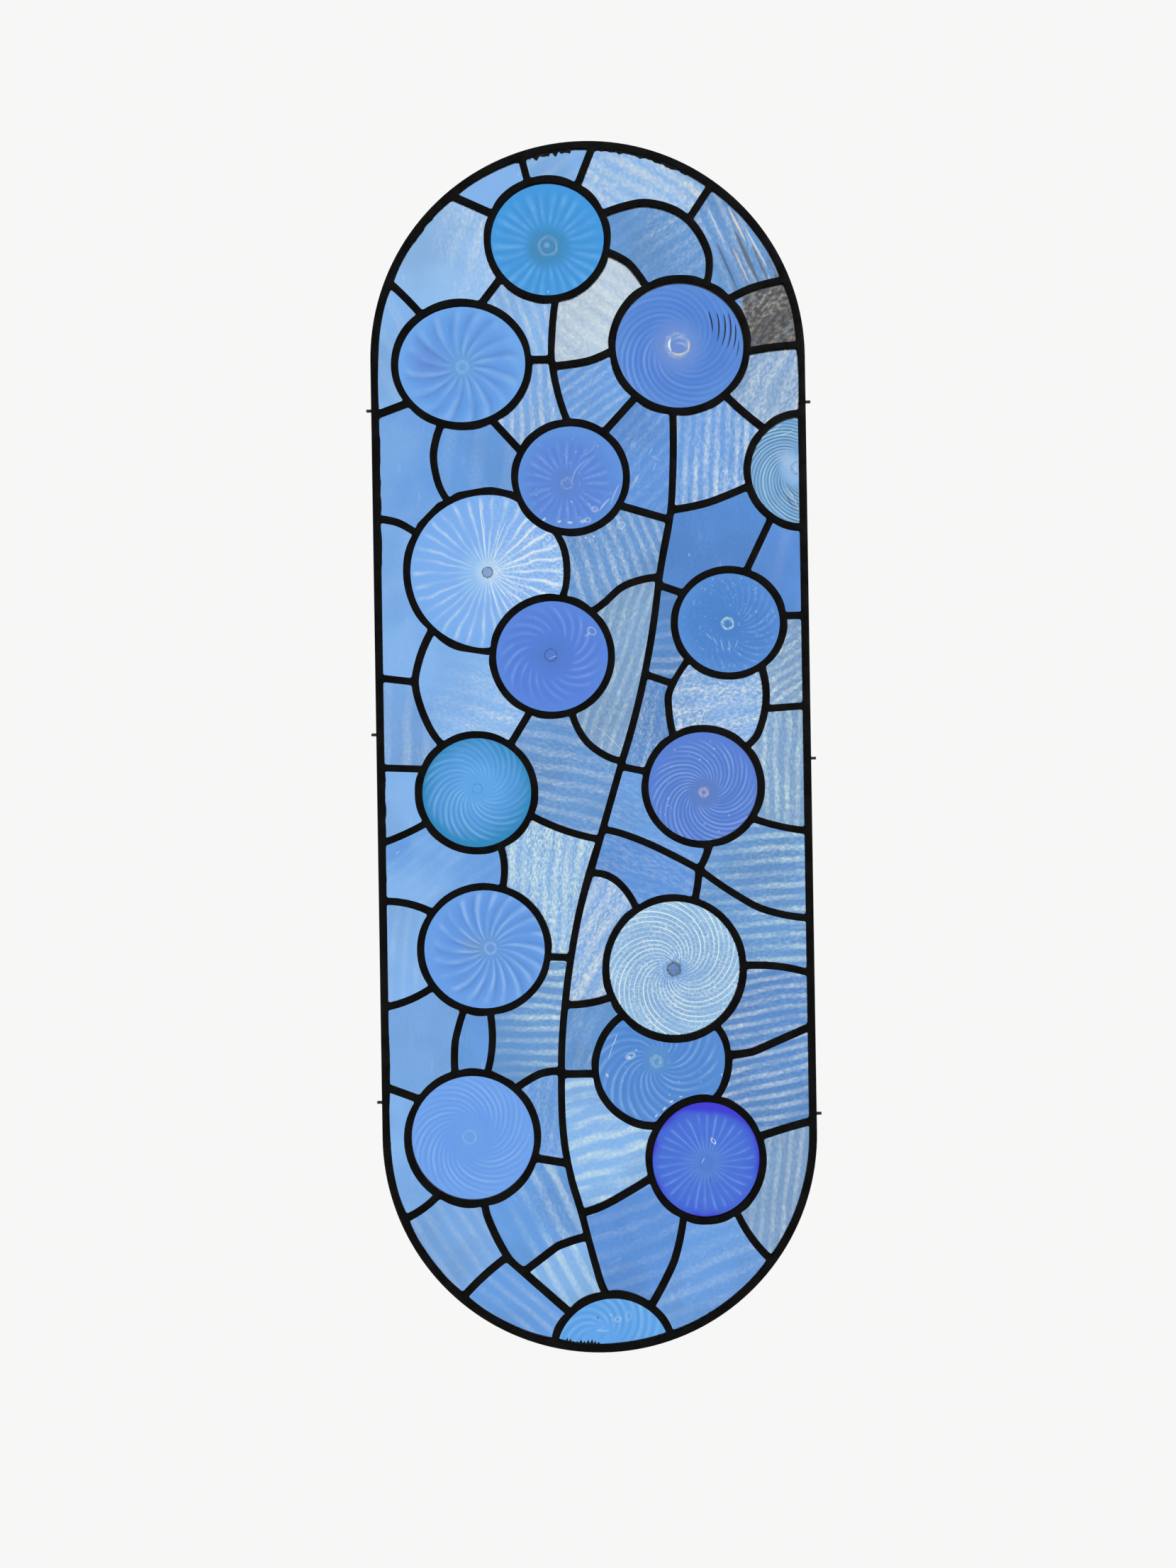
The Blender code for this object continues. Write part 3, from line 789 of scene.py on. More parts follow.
def wornMaterial(name, look):
    # lead, the border's dark strips (old cement, and the border's painted shadow) and steel: blotched and
    # pitted
    material, tree, shader = newMaterial(name)
    where = addNode(tree, "ShaderNodeTexCoord").outputs["Object"]
    wear = useGroup(tree, patina, {"Vector": where, "Blotch": look["blotch"], "Pit": look["pit"]})
    shade = tone(tree, wear["Blotch"], look["dark"], look["light"])
    if "inPits" in look:
        shade = tone(tree, times(tree, wear["Pit"], 0.3), shade, look["inPits"])
    shader.inputs["Specular IOR Level"].default_value = look["shine"]
    shader.inputs["Metallic"].default_value = look["metal"]
    rough = ramp(tree, wear[look["roughBy"]], 0, 1, *look["rough"])
    connect(tree, shader, shade, rough, wear["Pit"], look["bump"], look["depth"])
    return material


lead = {
    "leafTop": 2.6 * mm,
    "leafEdge": 2.15 * mm,  # height of the leaf's outermost edge
    "leafUnder": 1.72 * mm,
    "reach": 2.15 * mm,  # how far the leaf laps the glass
    "roundIn": (0.12 * mm, 0.34 * mm),  # the edge rounds over in two steps, this far in
    "roundUp": (0.62, 0.38),  # and takes these shares of its rise
    "underIn": 0.16 * mm,
    "borderWall": 2.6 * mm,  # no heart is drawn nearer the panel's edge than this
    "nearRim": 0.3 * mm,  # what counts as the panel's own edge
    "weld": 0.01 * mm,  # corners nearer than this are one
    "solderRise": 0.34 * mm,
    "solderReach": 8.5 * mm,
    "solderApart": 7 * mm,  # joints nearer than this are one
    "uneven": 0.05 * mm,
    "finish": {
        "blotch": 60, "pit": 900, "dark": (0.001, 0.001, 0.0013), "light": (0.0045, 0.0045, 0.005),
        "inPits": (0.001, 0.001, 0.001), "shine": 0.07, "metal": 0.0, "roughBy": "Blotch",
        "rough": (0.62, 0.44), "bump": 0.35, "depth": 0.4 * mm,
    },
}


def flatNet(name, height):
    # the lead between the outlines, as one flat sheet
    points, faces = [], []
    for outline in outlines:
        start = len(points)
        points += outline
        faces.append(list(range(start, start + len(outline))))
    made = delaunay_2d_cdt(points, [], faces, 1, 1e-7)
    kept = [face for face, source in zip(made[2], made[5]) if list(source) == [0]]
    net = meshPiece(name, [(p.x, p.y, height) for p in made[0]], kept)
    return net, made, kept


lowest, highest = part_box("came_net")
endRadius = (highest.x - lowest.x) / 2
endMiddle = (highest.y - lowest.y) / 2 - endRadius  # how far up and down from the origin the ends turn


def borderDepth(point):
    # how far inside the panel's outer edge a point is
    return endRadius - math.hypot(point.x, max(abs(point.y) - endMiddle, 0))


def solderSpots(made, kept):
    # a triangle between three outlines marks a joint
    owner = []
    for number, outline in enumerate(outlines):
        owner += [number] * len(outline)
    belongs = [owner[source[0]] if source else -1 for source in made[3]]
    spots = []
    for face in kept:
        if len({belongs[i] for i in face}) == 3:
            centre = sum((made[0][i] for i in face), Vector((0, 0))) / 3
            if all((spot - centre).length >= lead["solderApart"] for spot in spots):
                spots.append(centre)
    return spots


def insetEdge(width, depth):
    bpy.ops.mesh.inset(thickness=width, depth=depth, use_even_offset=False, use_boundary=True)


def makeLeadNet():
    net, made, kept = flatNet("lead_came_net", lead["leafEdge"])
    spots = solderSpots(made, kept)
    under = flatNet("leafUnderside", lead["leafEdge"])[0]

    # upper leaf: two insets round its edge over
    edit(net)
    facesOut()
    done()
    if sum(face.normal.z for face in net.data.polygons) < 0:
        net.data.flip_normals()
    if sum(face.normal.z for face in under.data.polygons) > 0:
        under.data.flip_normals()
    edit(net)
    selectAll()
    rise = lead["leafTop"] - lead["leafEdge"]
    for width, share in zip(lead["roundIn"], lead["roundUp"]):
        insetEdge(width, rise * share)
    bpy.ops.mesh.subdivide(number_cuts=1)
    done()
    # solder run over each joint, and the top a little uneven
    spotPlaces = [(spot.x, spot.y) for spot in spots]
    for vertex in net.data.vertices:
        if vertex.co.z > lead["leafTop"] - lead["weld"]:
            near = min(math.hypot(vertex.co.x - x, vertex.co.y - y) for x, y in spotPlaces)
            close = max(0.0, 1 - (near / lead["solderReach"]) ** 2)
            wave = noise.noise(vertex.co * 90) * lead["uneven"]
            lumps = 0.75 + 0.5 * noise.noise(vertex.co * 260)
            vertex.co.z += lead["solderRise"] * close * close * lumps + wave

    # underside of the leaf, then the heart's wall down to the middle
    edit(under)
    selectAll()
    insetEdge(lead["underIn"], lead["leafEdge"] - lead["leafUnder"])
    insetEdge(lead["reach"] - lead["underIn"], 0)
    bpy.ops.mesh.delete(type="FACE")
    selectFaces(under, lambda face: borderDepth(face.center) < lead["borderWall"])
    bpy.ops.mesh.delete(type="FACE")
    selectEdges(under, lambda a, b, isOpen: isOpen and max(a.z, b.z) < lead["leafUnder"] + 0.05 * mm)
    extrude(z=-lead["leafUnder"])
    done()

    # the border's outer wall
    edit(net, "EDGE")
    selectEdges(net, lambda a, b, isOpen: isOpen and borderDepth((a + b) / 2) < lead["nearRim"])
    extrude(z=-lead["leafEdge"])
    done()

    pick(net)
    under.select_set(True)
    bpy.ops.object.join()
    edit(net, "VERT")
    selectAll()
    bpy.ops.mesh.remove_doubles(threshold=lead["weld"])
    done()
    for vertex in net.data.vertices:
        if vertex.co.z < 0.02 * mm:
            vertex.co.z = 0
    mirror = net.modifiers.new("roomSide", "MIRROR")
    mirror.use_axis = (False, False, True)
    mirror.merge_threshold = lead["weld"]
    applyAll(net)
    edit(net)
    selectAll()
    bpy.ops.mesh.quads_convert_to_tris()
    bpy.ops.mesh.normals_make_consistent(inside=False)
    done()
    return net, spots


leadFinish = wornMaterial("patinatedLead", lead["finish"])
net, joints = makeLeadNet()
finishPiece(net, leadFinish, ["came_net"], 50)


sheetGlass = {
    "half": 1.5 * mm,
    "under": 1.7 * mm,  # how far it goes in under the lead
    "margin": 2 * mm,  # and how much more there is to cut off
    "cutterHalf": 6 * mm,
    "grid": 5 * mm,
    "wave": 0.09 * mm,
    "deeper": 0.86,  # the darker patches of a sheet that names no deep tint
    "bump": 0.4,
    "bumpDeep": 0.6 * mm,
    "whiteRough": 0.25,  # how much rougher the white streaks are
}

# tints of the sheets as seen against daylight, 0 to 255
tints = {
    "pale": (140, 184, 233), "sky": (126, 175, 231), "mid": (114, 163, 222), "plain": (97, 152, 219),
    "blue": (86, 141, 214), "strong": (80, 135, 208), "teal": (92, 144, 203), "dusk": (81, 133, 197),
    "slate": (116, 154, 198), "mist": (152, 176, 208), "frost": (112, 148, 210), "milk": (168, 192, 218),
    "white": (208, 222, 230), "cream": (208, 230, 230), "lilac": (140, 160, 218), "soot": (70, 70, 72),
    "ash": (150, 150, 148),
}

# Kinds of sheet glass. bands: how white the wavy bands are; speckle: frosty flecks all over;
# toward: the side that the white gathers on, in degrees, and side: how much of it does.
plainSheet = {
    "tint": "sky", "deep": None, "light": "white", "bands": 0.0, "spacing": 10, "bend": 20, "width": 0.58,
    "patchy": 0.6, "speckle": 0.05, "grainScale": 420, "grainStretch": 1.7, "toward": 0, "side": 0.0,
    "sideSpread": 0.8, "seeds": 0.25, "seedScale": 70, "lines": 0.15, "crossed": False, "crossedBy": 78,
    "smoke": 0.0, "smokeSpread": 0.8, "smokeScale": 90, "rough": 0.05, "marks": [],
}
bandedSheet = dict(plainSheet, bands=0.55, speckle=0.12)
frostedSheet = dict(plainSheet, tint="frost", bands=0.45, spacing=8, speckle=0.75, patchy=0.7, rough=0.14)

# Each pane: a point in it (right, up), the kind of sheet, how its bands run in degrees, and what differs.
panes = {
    "pane_top_left": [
        (-114, 411, bandedSheet, 70, {
            "tint": "pale", "bands": 0.3, "spacing": 17, "speckle": 0.55, "toward": 10, "side": 1.0})],
    "pane_top_arch": [
        (-74, 475, plainSheet, 30, {"marks": [("spot", "white", 0.8, -56, 485, 0, 0.7, 1, 0.4)]}),
        (-22, 490, plainSheet, 35, {"bands": 0.2, "spacing": 14})],
    "pane_top_right": [
        (49, 470, bandedSheet, -30, {
            "tint": "sky", "bands": 0.7, "width": 0.95, "spacing": 12, "speckle": 0.6, "lines": 0.5,
            "crossed": True})],
    "pane_crescent": [
        (61, 426, bandedSheet, 35, {
            "tint": "teal", "bands": 0.2, "spacing": 12, "speckle": 0.3, "toward": 20, "side": 0.7})],
    "pane_streaked": [
        (122, 415, bandedSheet, -66, {
            "tint": "teal", "bands": 0.45, "spacing": 11, "bend": 8, "smoke": 0.5, "smokeSide": -40,
            "toward": 35, "side": 0.6, "speckle": 0.3,
            "marks": [
                ("streak", "white", 0.75, 110, 440, -66, 17, 0.7, 0),
                ("streak", "grey", 0.8, 119, 405, -67, 22, 1.6, 0),
                ("streak", "warm", 0.8, 128, 440, -64, 17, 1.8, 0),
                ("streak", "grey", 0.85, 136, 412, -66, 26, 3.0, 0),
                ("streak", "white", 0.6, 144, 420, -62, 20, 1.4, 0),
                ("streak", "grey", 0.75, 148, 405, -66, 18, 2.2, 0),
                ("streak", "warm", 0.5, 131, 405, -66, 18, 1.6, 0)]})],
    "pane_smoky": [
        (150, 360, bandedSheet, 20, {
            "tint": "plain", "bands": 0.1, "speckle": 0.5, "grainScale": 300, "smoke": 1.0,
            "smokeSide": 0, "smokeSpread": 1.3})],
    "pane_right_shoulder": [
        (152, 303, frostedSheet, 58, {
            "tint": "slate", "bands": 0.65, "spacing": 13, "width": 0.9, "speckle": 0.75, "toward": -50,
            "side": 0.35})],
    "pane_frosted_top": [
        (9, 367, frostedSheet, -35, {
            "tint": "milk", "light": "white", "bands": 1.0, "spacing": 12, "width": 1.2, "speckle": 1.0,
            "toward": 40, "side": 0.3, "lines": 0.6, "crossed": True})],
    "pane_stem_upper_left": [
        (-38, 345, bandedSheet, -70, {"bands": 0.5, "speckle": 0.2}),
        (-42, 300, bandedSheet, -86, {"tint": "mid", "bands": 0.6, "spacing": 9, "speckle": 0.25})],
    "pane_stem_upper_right": [
        (1, 305, bandedSheet, 35, {
            "tint": "plain", "bands": 0.3, "spacing": 8.5, "bend": 8, "speckle": 0.15})],
    "pane_left_edge_upper": [
        (-170, 345, bandedSheet, -60, {"bands": 0.12, "spacing": 18, "speckle": 0.08}),
        (-150, 232, plainSheet, 80, {"tint": "mid", "deep": "plain"})],
    "pane_under_upper_left": [
        (-101, 241, plainSheet, 85, {"tint": "plain", "bands": 0.1, "spacing": 26})],
    "pane_left_edge_middle": [
        (-165, 138, plainSheet, 80, {"tint": "sky", "deep": "mid"}),
        (-160, 19, bandedSheet, 86, {
            "tint": "mid", "bands": 0.35, "spacing": 16, "speckle": 0.1, "toward": -90, "side": 0.6})],
    "pane_left_middle": [
        (-115, 44, bandedSheet, -15, {
            "tint": "sky", "deep": "mid", "bands": 0.3, "spacing": 13, "speckle": 0.55, "toward": -45,
            "side": 0.9})],
    "pane_left_edge_lower": [
        (-158, -44, plainSheet, 80, {"tint": "sky"}),
        (-123, -102, plainSheet, 35, {"tint": "plain", "deep": "sky", "bands": 0.08}),
        (-165, -164, bandedSheet, 85, {"tint": "sky", "bands": 0.14, "spacing": 12, "speckle": 0.04})],
    "pane_left_edge_bottom": [
        (-150, -246, plainSheet, 80, {"tint": "mid"}),
        (-168, -348, plainSheet, 80, {"tint": "sky", "deep": "mid"})],
    "pane_narrow_left": [
        (-105, -249, plainSheet, 85, {"tint": "plain"}),
        (-58, -237, bandedSheet, 2, {
            "tint": "teal", "light": "cream", "bands": 0.85, "spacing": 10, "speckle": 0.25,
            "patchy": 0.4, "toward": 20, "side": 0.85})],
    "pane_frosted_left": [
        (-48, -117, frostedSheet, 84, {
            "tint": "mid", "light": "cream", "bands": 0.55, "spacing": 10, "speckle": 0.85,
            "grainScale": 600, "grainStretch": 2.2, "width": 1.0, "patchy": 0.6, "lines": 0.4})],
    "pane_stem_left": [
        (-27, -12, bandedSheet, -14, {"tint": "teal", "bands": 0.32, "spacing": 13, "speckle": 0.2})],
    "pane_stem_wispy": [
        (13, 157, bandedSheet, -70, {
            "tint": "teal", "bands": 0.4, "spacing": 10, "speckle": 0.25,
            "marks": [
                ("bubble", "white", 0.25, 26, 187, 20, 2.6, 1.3, 0.9),
                ("spot", "white", 0.6, 3, 178, 0, 1, 1, 0.4),
                ("spot", "white", 0.8, -4, 177, 0, 0.8, 1.4, 0.4)]}),
        (20, 80, bandedSheet, 72, {
            "tint": "slate", "light": "cream", "bands": 0.35, "spacing": 9, "speckle": 0.2,
            "marks": [
                ("streak", "white", 0.35, 18, 3, -48, 26, 0.6, 5)]})],
    "pane_stem_plain": [
        (44, 241, plainSheet, 50, {
            "tint": "blue", "lines": 0.5, "bands": 0.12, "speckle": 0.12,
            "marks": [
                ("streak", "white", 0.4, 52, 249, 60, 4, 0.5, 0),
                ("streak", "white", 0.4, 57, 243, -30, 5, 0.5, 9),
                ("streak", "white", 0.5, 55, 236, 70, 4, 0.4, 0)]})],
    "pane_frosted_right": [
        (100, 246, frostedSheet, 88, {
            "tint": "plain", "bands": 1.0, "spacing": 8.5, "width": 0.75, "bend": 9, "speckle": 0.5,
            "grainScale": 380, "toward": -35, "side": 0.6})],
    "pane_right_upper": [
        (103, 173, plainSheet, 80, {"tint": "strong", "seeds": 0.5, "seedScale": 130}),
        (160, 148, bandedSheet, 78, {
            "tint": "blue", "light": "lilac", "bands": 0.5, "spacing": 22, "toward": 40, "side": 0.8,
            "speckle": 0.1})],
    "pane_stem_right": [
        (63, 91, bandedSheet, 4, {
            "tint": "dusk", "bands": 0.35, "spacing": 10, "toward": -90, "side": 0.8}),
        (51, 24, bandedSheet, 75, {
            "tint": "dusk", "bands": 0.22, "spacing": 9, "speckle": 0.4, "toward": -60, "side": 0.4})],
    "pane_right_edge_middle": [
        (165, 67, bandedSheet, 35, {
            "tint": "slate", "light": "cream", "bands": 0.55, "spacing": 9, "speckle": 0.45,
            "toward": -60, "side": 0.4}),
        (160, -15, bandedSheet, 88, {
            "tint": "slate", "light": "cream", "bands": 0.5, "spacing": 9, "speckle": 0.35})],
    "pane_barrel": [
        (108, 34, frostedSheet, 5, {
            "tint": "mid", "bands": 0.25, "spacing": 14, "speckle": 0.85, "patchy": 0.3,
            "marks": [
                ("streak", "white", 0.8, 90, 17, 78, 22, 0.5, 12),
                ("streak", "mist", 0.5, 113, 6, -14, 26, 1.4, -8)]})],
    "pane_sliver": [
        (35, -60, bandedSheet, -25, {
            "tint": "plain", "bands": 0.08, "spacing": 7, "bend": 22, "speckle": 0.18, "grainScale": 420,
            "grainStretch": 3})],
    "pane_stem_right_lower": [
        (39, -100, bandedSheet, -25, {
            "tint": "blue", "bands": 0.08, "spacing": 7, "bend": 24, "speckle": 0.2, "grainScale": 420,
            "grainStretch": 3})],
    "pane_right_edge_lower": [
        (133, -105, bandedSheet, 3, {
            "tint": "teal", "light": "cream", "bands": 0.62, "spacing": 10.5, "bend": 10, "speckle": 0.28,
            "toward": 15, "side": 0.5}),
        (140, -160, bandedSheet, 2, {
            "tint": "teal", "light": "cream", "bands": 0.6, "spacing": 10, "bend": 10, "speckle": 0.3,
            "toward": 0, "side": 0.5})],
    "pane_frosted_lower": [
        (2, -159, frostedSheet, 55, {
            "tint": "mid", "bands": 0.55, "spacing": 13, "width": 0.9, "speckle": 0.75, "grainScale": 560,
            "grainStretch": 2.4, "lines": 0.3}),
        (-12, -240, plainSheet, 60, {
            "tint": "teal", "lines": 0.4, "bands": 0.1, "spacing": 15, "speckle": 0.1})],
    "pane_right_edge_bottom": [
        (135, -225, bandedSheet, 9, {
            "tint": "dusk", "bands": 0.6, "spacing": 8.5, "bend": 12, "speckle": 0.18}),
        (131, -293, bandedSheet, 11, {
            "tint": "dusk", "bands": 0.62, "spacing": 9, "bend": 12, "speckle": 0.18})],
    "pane_stem_foot_right": [
        (4, -337, bandedSheet, 12, {
            "tint": "sky", "light": "cream", "bands": 0.95, "spacing": 12, "bend": 34, "width": 0.72,
            "speckle": 0.25, "patchy": 0.95, "toward": 10, "side": 0.25})],
    "pane_stem_foot_left": [
        (-43, -310, bandedSheet, 80, {"tint": "plain", "bands": 0.12, "speckle": 0.22}),
        (-58, -394, bandedSheet, -62, {
            "tint": "plain", "light": "cream", "bands": 0.7, "spacing": 15, "bend": 12, "toward": 15,
            "side": 0.95, "patchy": 0.7, "speckle": 0.2}),
        (-22, -449, bandedSheet, -62, {
            "tint": "sky", "light": "cream", "bands": 0.8, "spacing": 13, "bend": 12, "toward": 60,
            "side": 0.4, "speckle": 0.15})],
    "pane_bottom_left": [
        (-121, -410, bandedSheet, -58, {
            "tint": "mid", "bands": 0.22, "spacing": 12, "bend": 8, "speckle": 0.05}),
        (-70, -471, bandedSheet, -42, {
            "tint": "plain", "bands": 0.3, "spacing": 12, "bend": 8, "toward": 10, "side": 0.4,
            "speckle": 0.05})],
    "pane_bottom_middle": [
        (29, -421, bandedSheet, 18, {"tint": "blue", "bands": 0.14, "spacing": 14, "speckle": 0.08})],
    "pane_bottom_right": [
        (91, -441, bandedSheet, 20, {
            "tint": "plain", "bands": 0.2, "spacing": 15, "bend": 16, "speckle": 0.12})],
    "pane_right_edge_foot": [
        (152, -374, bandedSheet, 84, {
            "tint": "slate", "bands": 0.45, "spacing": 9, "bend": 8, "speckle": 0.25, "toward": 0,
            "side": 0.3})],
}


def sheetMaterial(name, look, outline, degrees, number):
    material, tree, shader = glassShader(name)
    middle = sum(outline, Vector((0, 0))) / len(outline)
    reach = max((p - middle).length for p in outline)
    right, up = middle.x / mm, -middle.y / mm
    where = addNode(tree, "ShaderNodeTexCoord").outputs["Object"]
    here = centred(tree, where, right, up)
    turned = centred(tree, where, right, up, degrees)
    tint = asLit(*tints[look["tint"]])
    deep = tuple(value * sheetGlass["deeper"] for value in tint)
    if look["deep"]:
        deep = asLit(*tints[look["deep"]])
    broad = noiseAt(tree, where, 14 + number % 5, 2)
    colour = tone(tree, ramp(tree, broad, 0.38, 0.68), tint, deep)
    speckle = useGroup(tree, grain, {"Vector": turned, "Scale": look["grainScale"],
                                     "Stretch": look["grainStretch"]})["Mask"]
    white = times(tree, speckle, look["speckle"])
    if look["bands"]:
        band = useGroup(tree, bands, {
            "Vector": turned, "Spacing": look["spacing"] * mm, "Bend": look["bend"] * mm,
            "Width": look["width"], "Patchy": look["patchy"], "Seed": number * 3.7})["Mask"]
        fleck = ramp(tree, speckle, 0, 1, 0.55, 1.1, soft=False)
        white = calc(tree, "MULTIPLY_ADD", times(tree, band, fleck), look["bands"], white)
    if look["side"]:
        side = useGroup(tree, toSide, {"Vector": here, "Heading": -math.radians(look["toward"]),
                                       "Reach": reach * look["sideSpread"]})["Mask"]
        white = times(tree, white, ramp(tree, side, 0, 1, 1 - look["side"], 1, soft=False))
    hair = useGroup(tree, scratches, {"Vector": turned})["Mask"]
    white = calc(tree, "MULTIPLY_ADD", hair, look["lines"], white)
    if look["crossed"]:
        across = centred(tree, where, right, up, degrees + look["crossedBy"])
        hair = useGroup(tree, scratches, {"Vector": across, "Scale": 120, "Width": 0.012})["Mask"]
        white = calc(tree, "MULTIPLY_ADD", hair, look["lines"], white)
    dots = useGroup(tree, seeds, {"Vector": turned, "Scale": look["seedScale"]})["Mask"]
    white = calc(tree, "MINIMUM", calc(tree, "MULTIPLY_ADD", dots, look["seeds"], white), 1)
    colour = tone(tree, white, colour, asLit(*tints[look["light"]]))
    if look["smoke"]:
        stretch = 3 if look["bands"] > 0.2 else 1.2
        dark = useGroup(tree, smoke, {"Vector": turned, "Scale": look["smokeScale"], "Stretch": stretch,
                                      "Cover": look["smoke"], "Soft": 0.3})["Mask"]
        side = useGroup(tree, toSide, {"Vector": here, "Heading": -math.radians(look["smokeSide"]),
                                       "Uneven": 0.01, "Reach": reach * look["smokeSpread"]})["Mask"]
        if look["smoke"] == 1:
            side = ramp(tree, side, 0.05, 0.15)
            dark = ramp(tree, dark, 0, 1, 0.72, 1)
        cloud = tone(tree, speckle, asLit(*tints["soot"]), asLit(*tints["ash"]))
        colour = tone(tree, times(tree, dark, side), colour, cloud)
    colour = addMarks(tree, where, colour, look["marks"])
    rough = ramp(tree, white, 0, 1, look["rough"], look["rough"] + sheetGlass["whiteRough"])
    connect(tree, shader, colour, rough, white, sheetGlass["bump"], sheetGlass["bumpDeep"])
    return material


def prism(outline, half):
    # the outline as a solid, to cut a sheet with
    block = meshPiece("cutter", [(p.x, p.y, -half) for p in outline], [range(len(outline))])
    edit(block)
    selectAll()
    extrude(z=2 * half)
    facesOut()
    done()
    return block


def cutTo(piece, outline):
    block = prism(outline, sheetGlass["cutterHalf"])
    cut = piece.modifiers.new("cut", "BOOLEAN")
    cut.operation = "INTERSECT"
    cut.solver = "EXACT"
    cut.object = block
    applyAll(piece)
    bpy.data.objects.remove(block)
    if len(piece.data.polygons) < 20:
        raise SystemExit(f"{piece.name} was cut away")


def sheetPane(name, outline, degrees, number):
    # a flat slab bigger than the pane, waved a little, then cut to its outline
    reach = grown(outline, sheetGlass["under"])
    spare = Vector((1, 1)) * sheetGlass["margin"]
    low = Vector((min(p.x for p in reach), min(p.y for p in reach))) - spare
    high = Vector((max(p.x for p in reach), max(p.y for p in reach))) + spare
    size = high - low
    middle = (low + high) / 2
    across = max(2, round(size.x / sheetGlass["grid"]))
    along = max(2, round(size.y / sheetGlass["grid"]))
    deselectAll()
    bpy.ops.mesh.primitive_grid_add(x_subdivisions=across, y_subdivisions=along, size=1,
                                    location=(middle.x, middle.y, -sheetGlass["half"]))
    pane = bpy.context.object
    pane.name = name
    pane.scale = (size.x, size.y, 1)
    bpy.ops.object.transform_apply(location=True, rotation=True, scale=True)
    edit(pane)
    selectAll()
    extrude(z=2 * sheetGlass["half"])
    facesOut()
    done()
    turn = Matrix.Rotation(math.radians(degrees), 2)
    for vertex in pane.data.vertices:
        along = turn @ Vector((vertex.co.x, vertex.co.y))
        side = 1 if vertex.co.z > 0 else -1
        wave = noise.noise(Vector((along.x * 25, along.y * 90, number * 2.3 + side)))
        vertex.co.z += wave * sheetGlass["wave"]
    cutTo(pane, reach)
    return pane


number = 0
for node, cuts in panes.items():
    for index, (right, up, look, degrees, changes) in enumerate(cuts):
        number += 1
        outline = cellAt(right, up)
        name = f"{node}_glass{index + 1}"
        pane = sheetPane(name, outline, degrees, number)
        look = dict(look, **changes)
        material = sheetMaterial(name, look, outline, degrees, number)
        finishPiece(pane, material, [node], 30)
print("panes:", number)


spunShape = {
    "rim": 1.5 * mm,  # half the thickness at the rim
    "rimWide": 1.2 * mm,
    "rimRound": 0.3 * mm,
    "thin": 1.15 * mm,
    "middle": 1.9 * mm,
    "under": 1.6 * mm,
    "rings": 12,
    "ribHeight": 0.11 * mm,
    "ribRise": 0.3,  # the ribs rise over this share of the radius
    "ribEnd": 3 * mm,  # how far from the rim they end
    "ribFall": 8 * mm,
    "weld": 0.002 * mm,
}

# What the roundels share. Lengths in mm, tints as seen against daylight.
spunGlass = {
    "coreSize": 20, "coreSoft": 0.4, "sharp": 2, "rib": 0.5, "shade": 0.25, "shadeTint": (70, 108, 178),
    "loose": 2.2, "bead": 0.35, "faint": 0.18, "from": 7, "to": 1.04, "fade": 0.3, "side": 0,
    "sideShare": 0.0, "scar": 4, "scarInk": "shade", "ring": 0.6, "ringWide": 0.9, "wobble": 1.6,
    "scarIn": 0.0, "scarInInk": "white", "glow": 0.0, "glowInk": "white", "speckle": 0.04,
    "speckleScale": 460, "speckleSide": False, "seeds": 0.3, "seedScale": 75, "sparks": [], "marks": [],
    "edge": 0.0, "edgeTint": (58, 46, 208), "edgeFrom": 8, "edgeTo": 2, "cloud": 0.0, "cloudAt": (0, 0),
    "cloudSize": 20, "cloudTint": (100, 130, 190), "cutBy": None, "wander": 20, "rimFrom": 0.6,
    "rough": (0.03, 0.12), "bump": 0.3, "bumpDeep": 0.5,
}

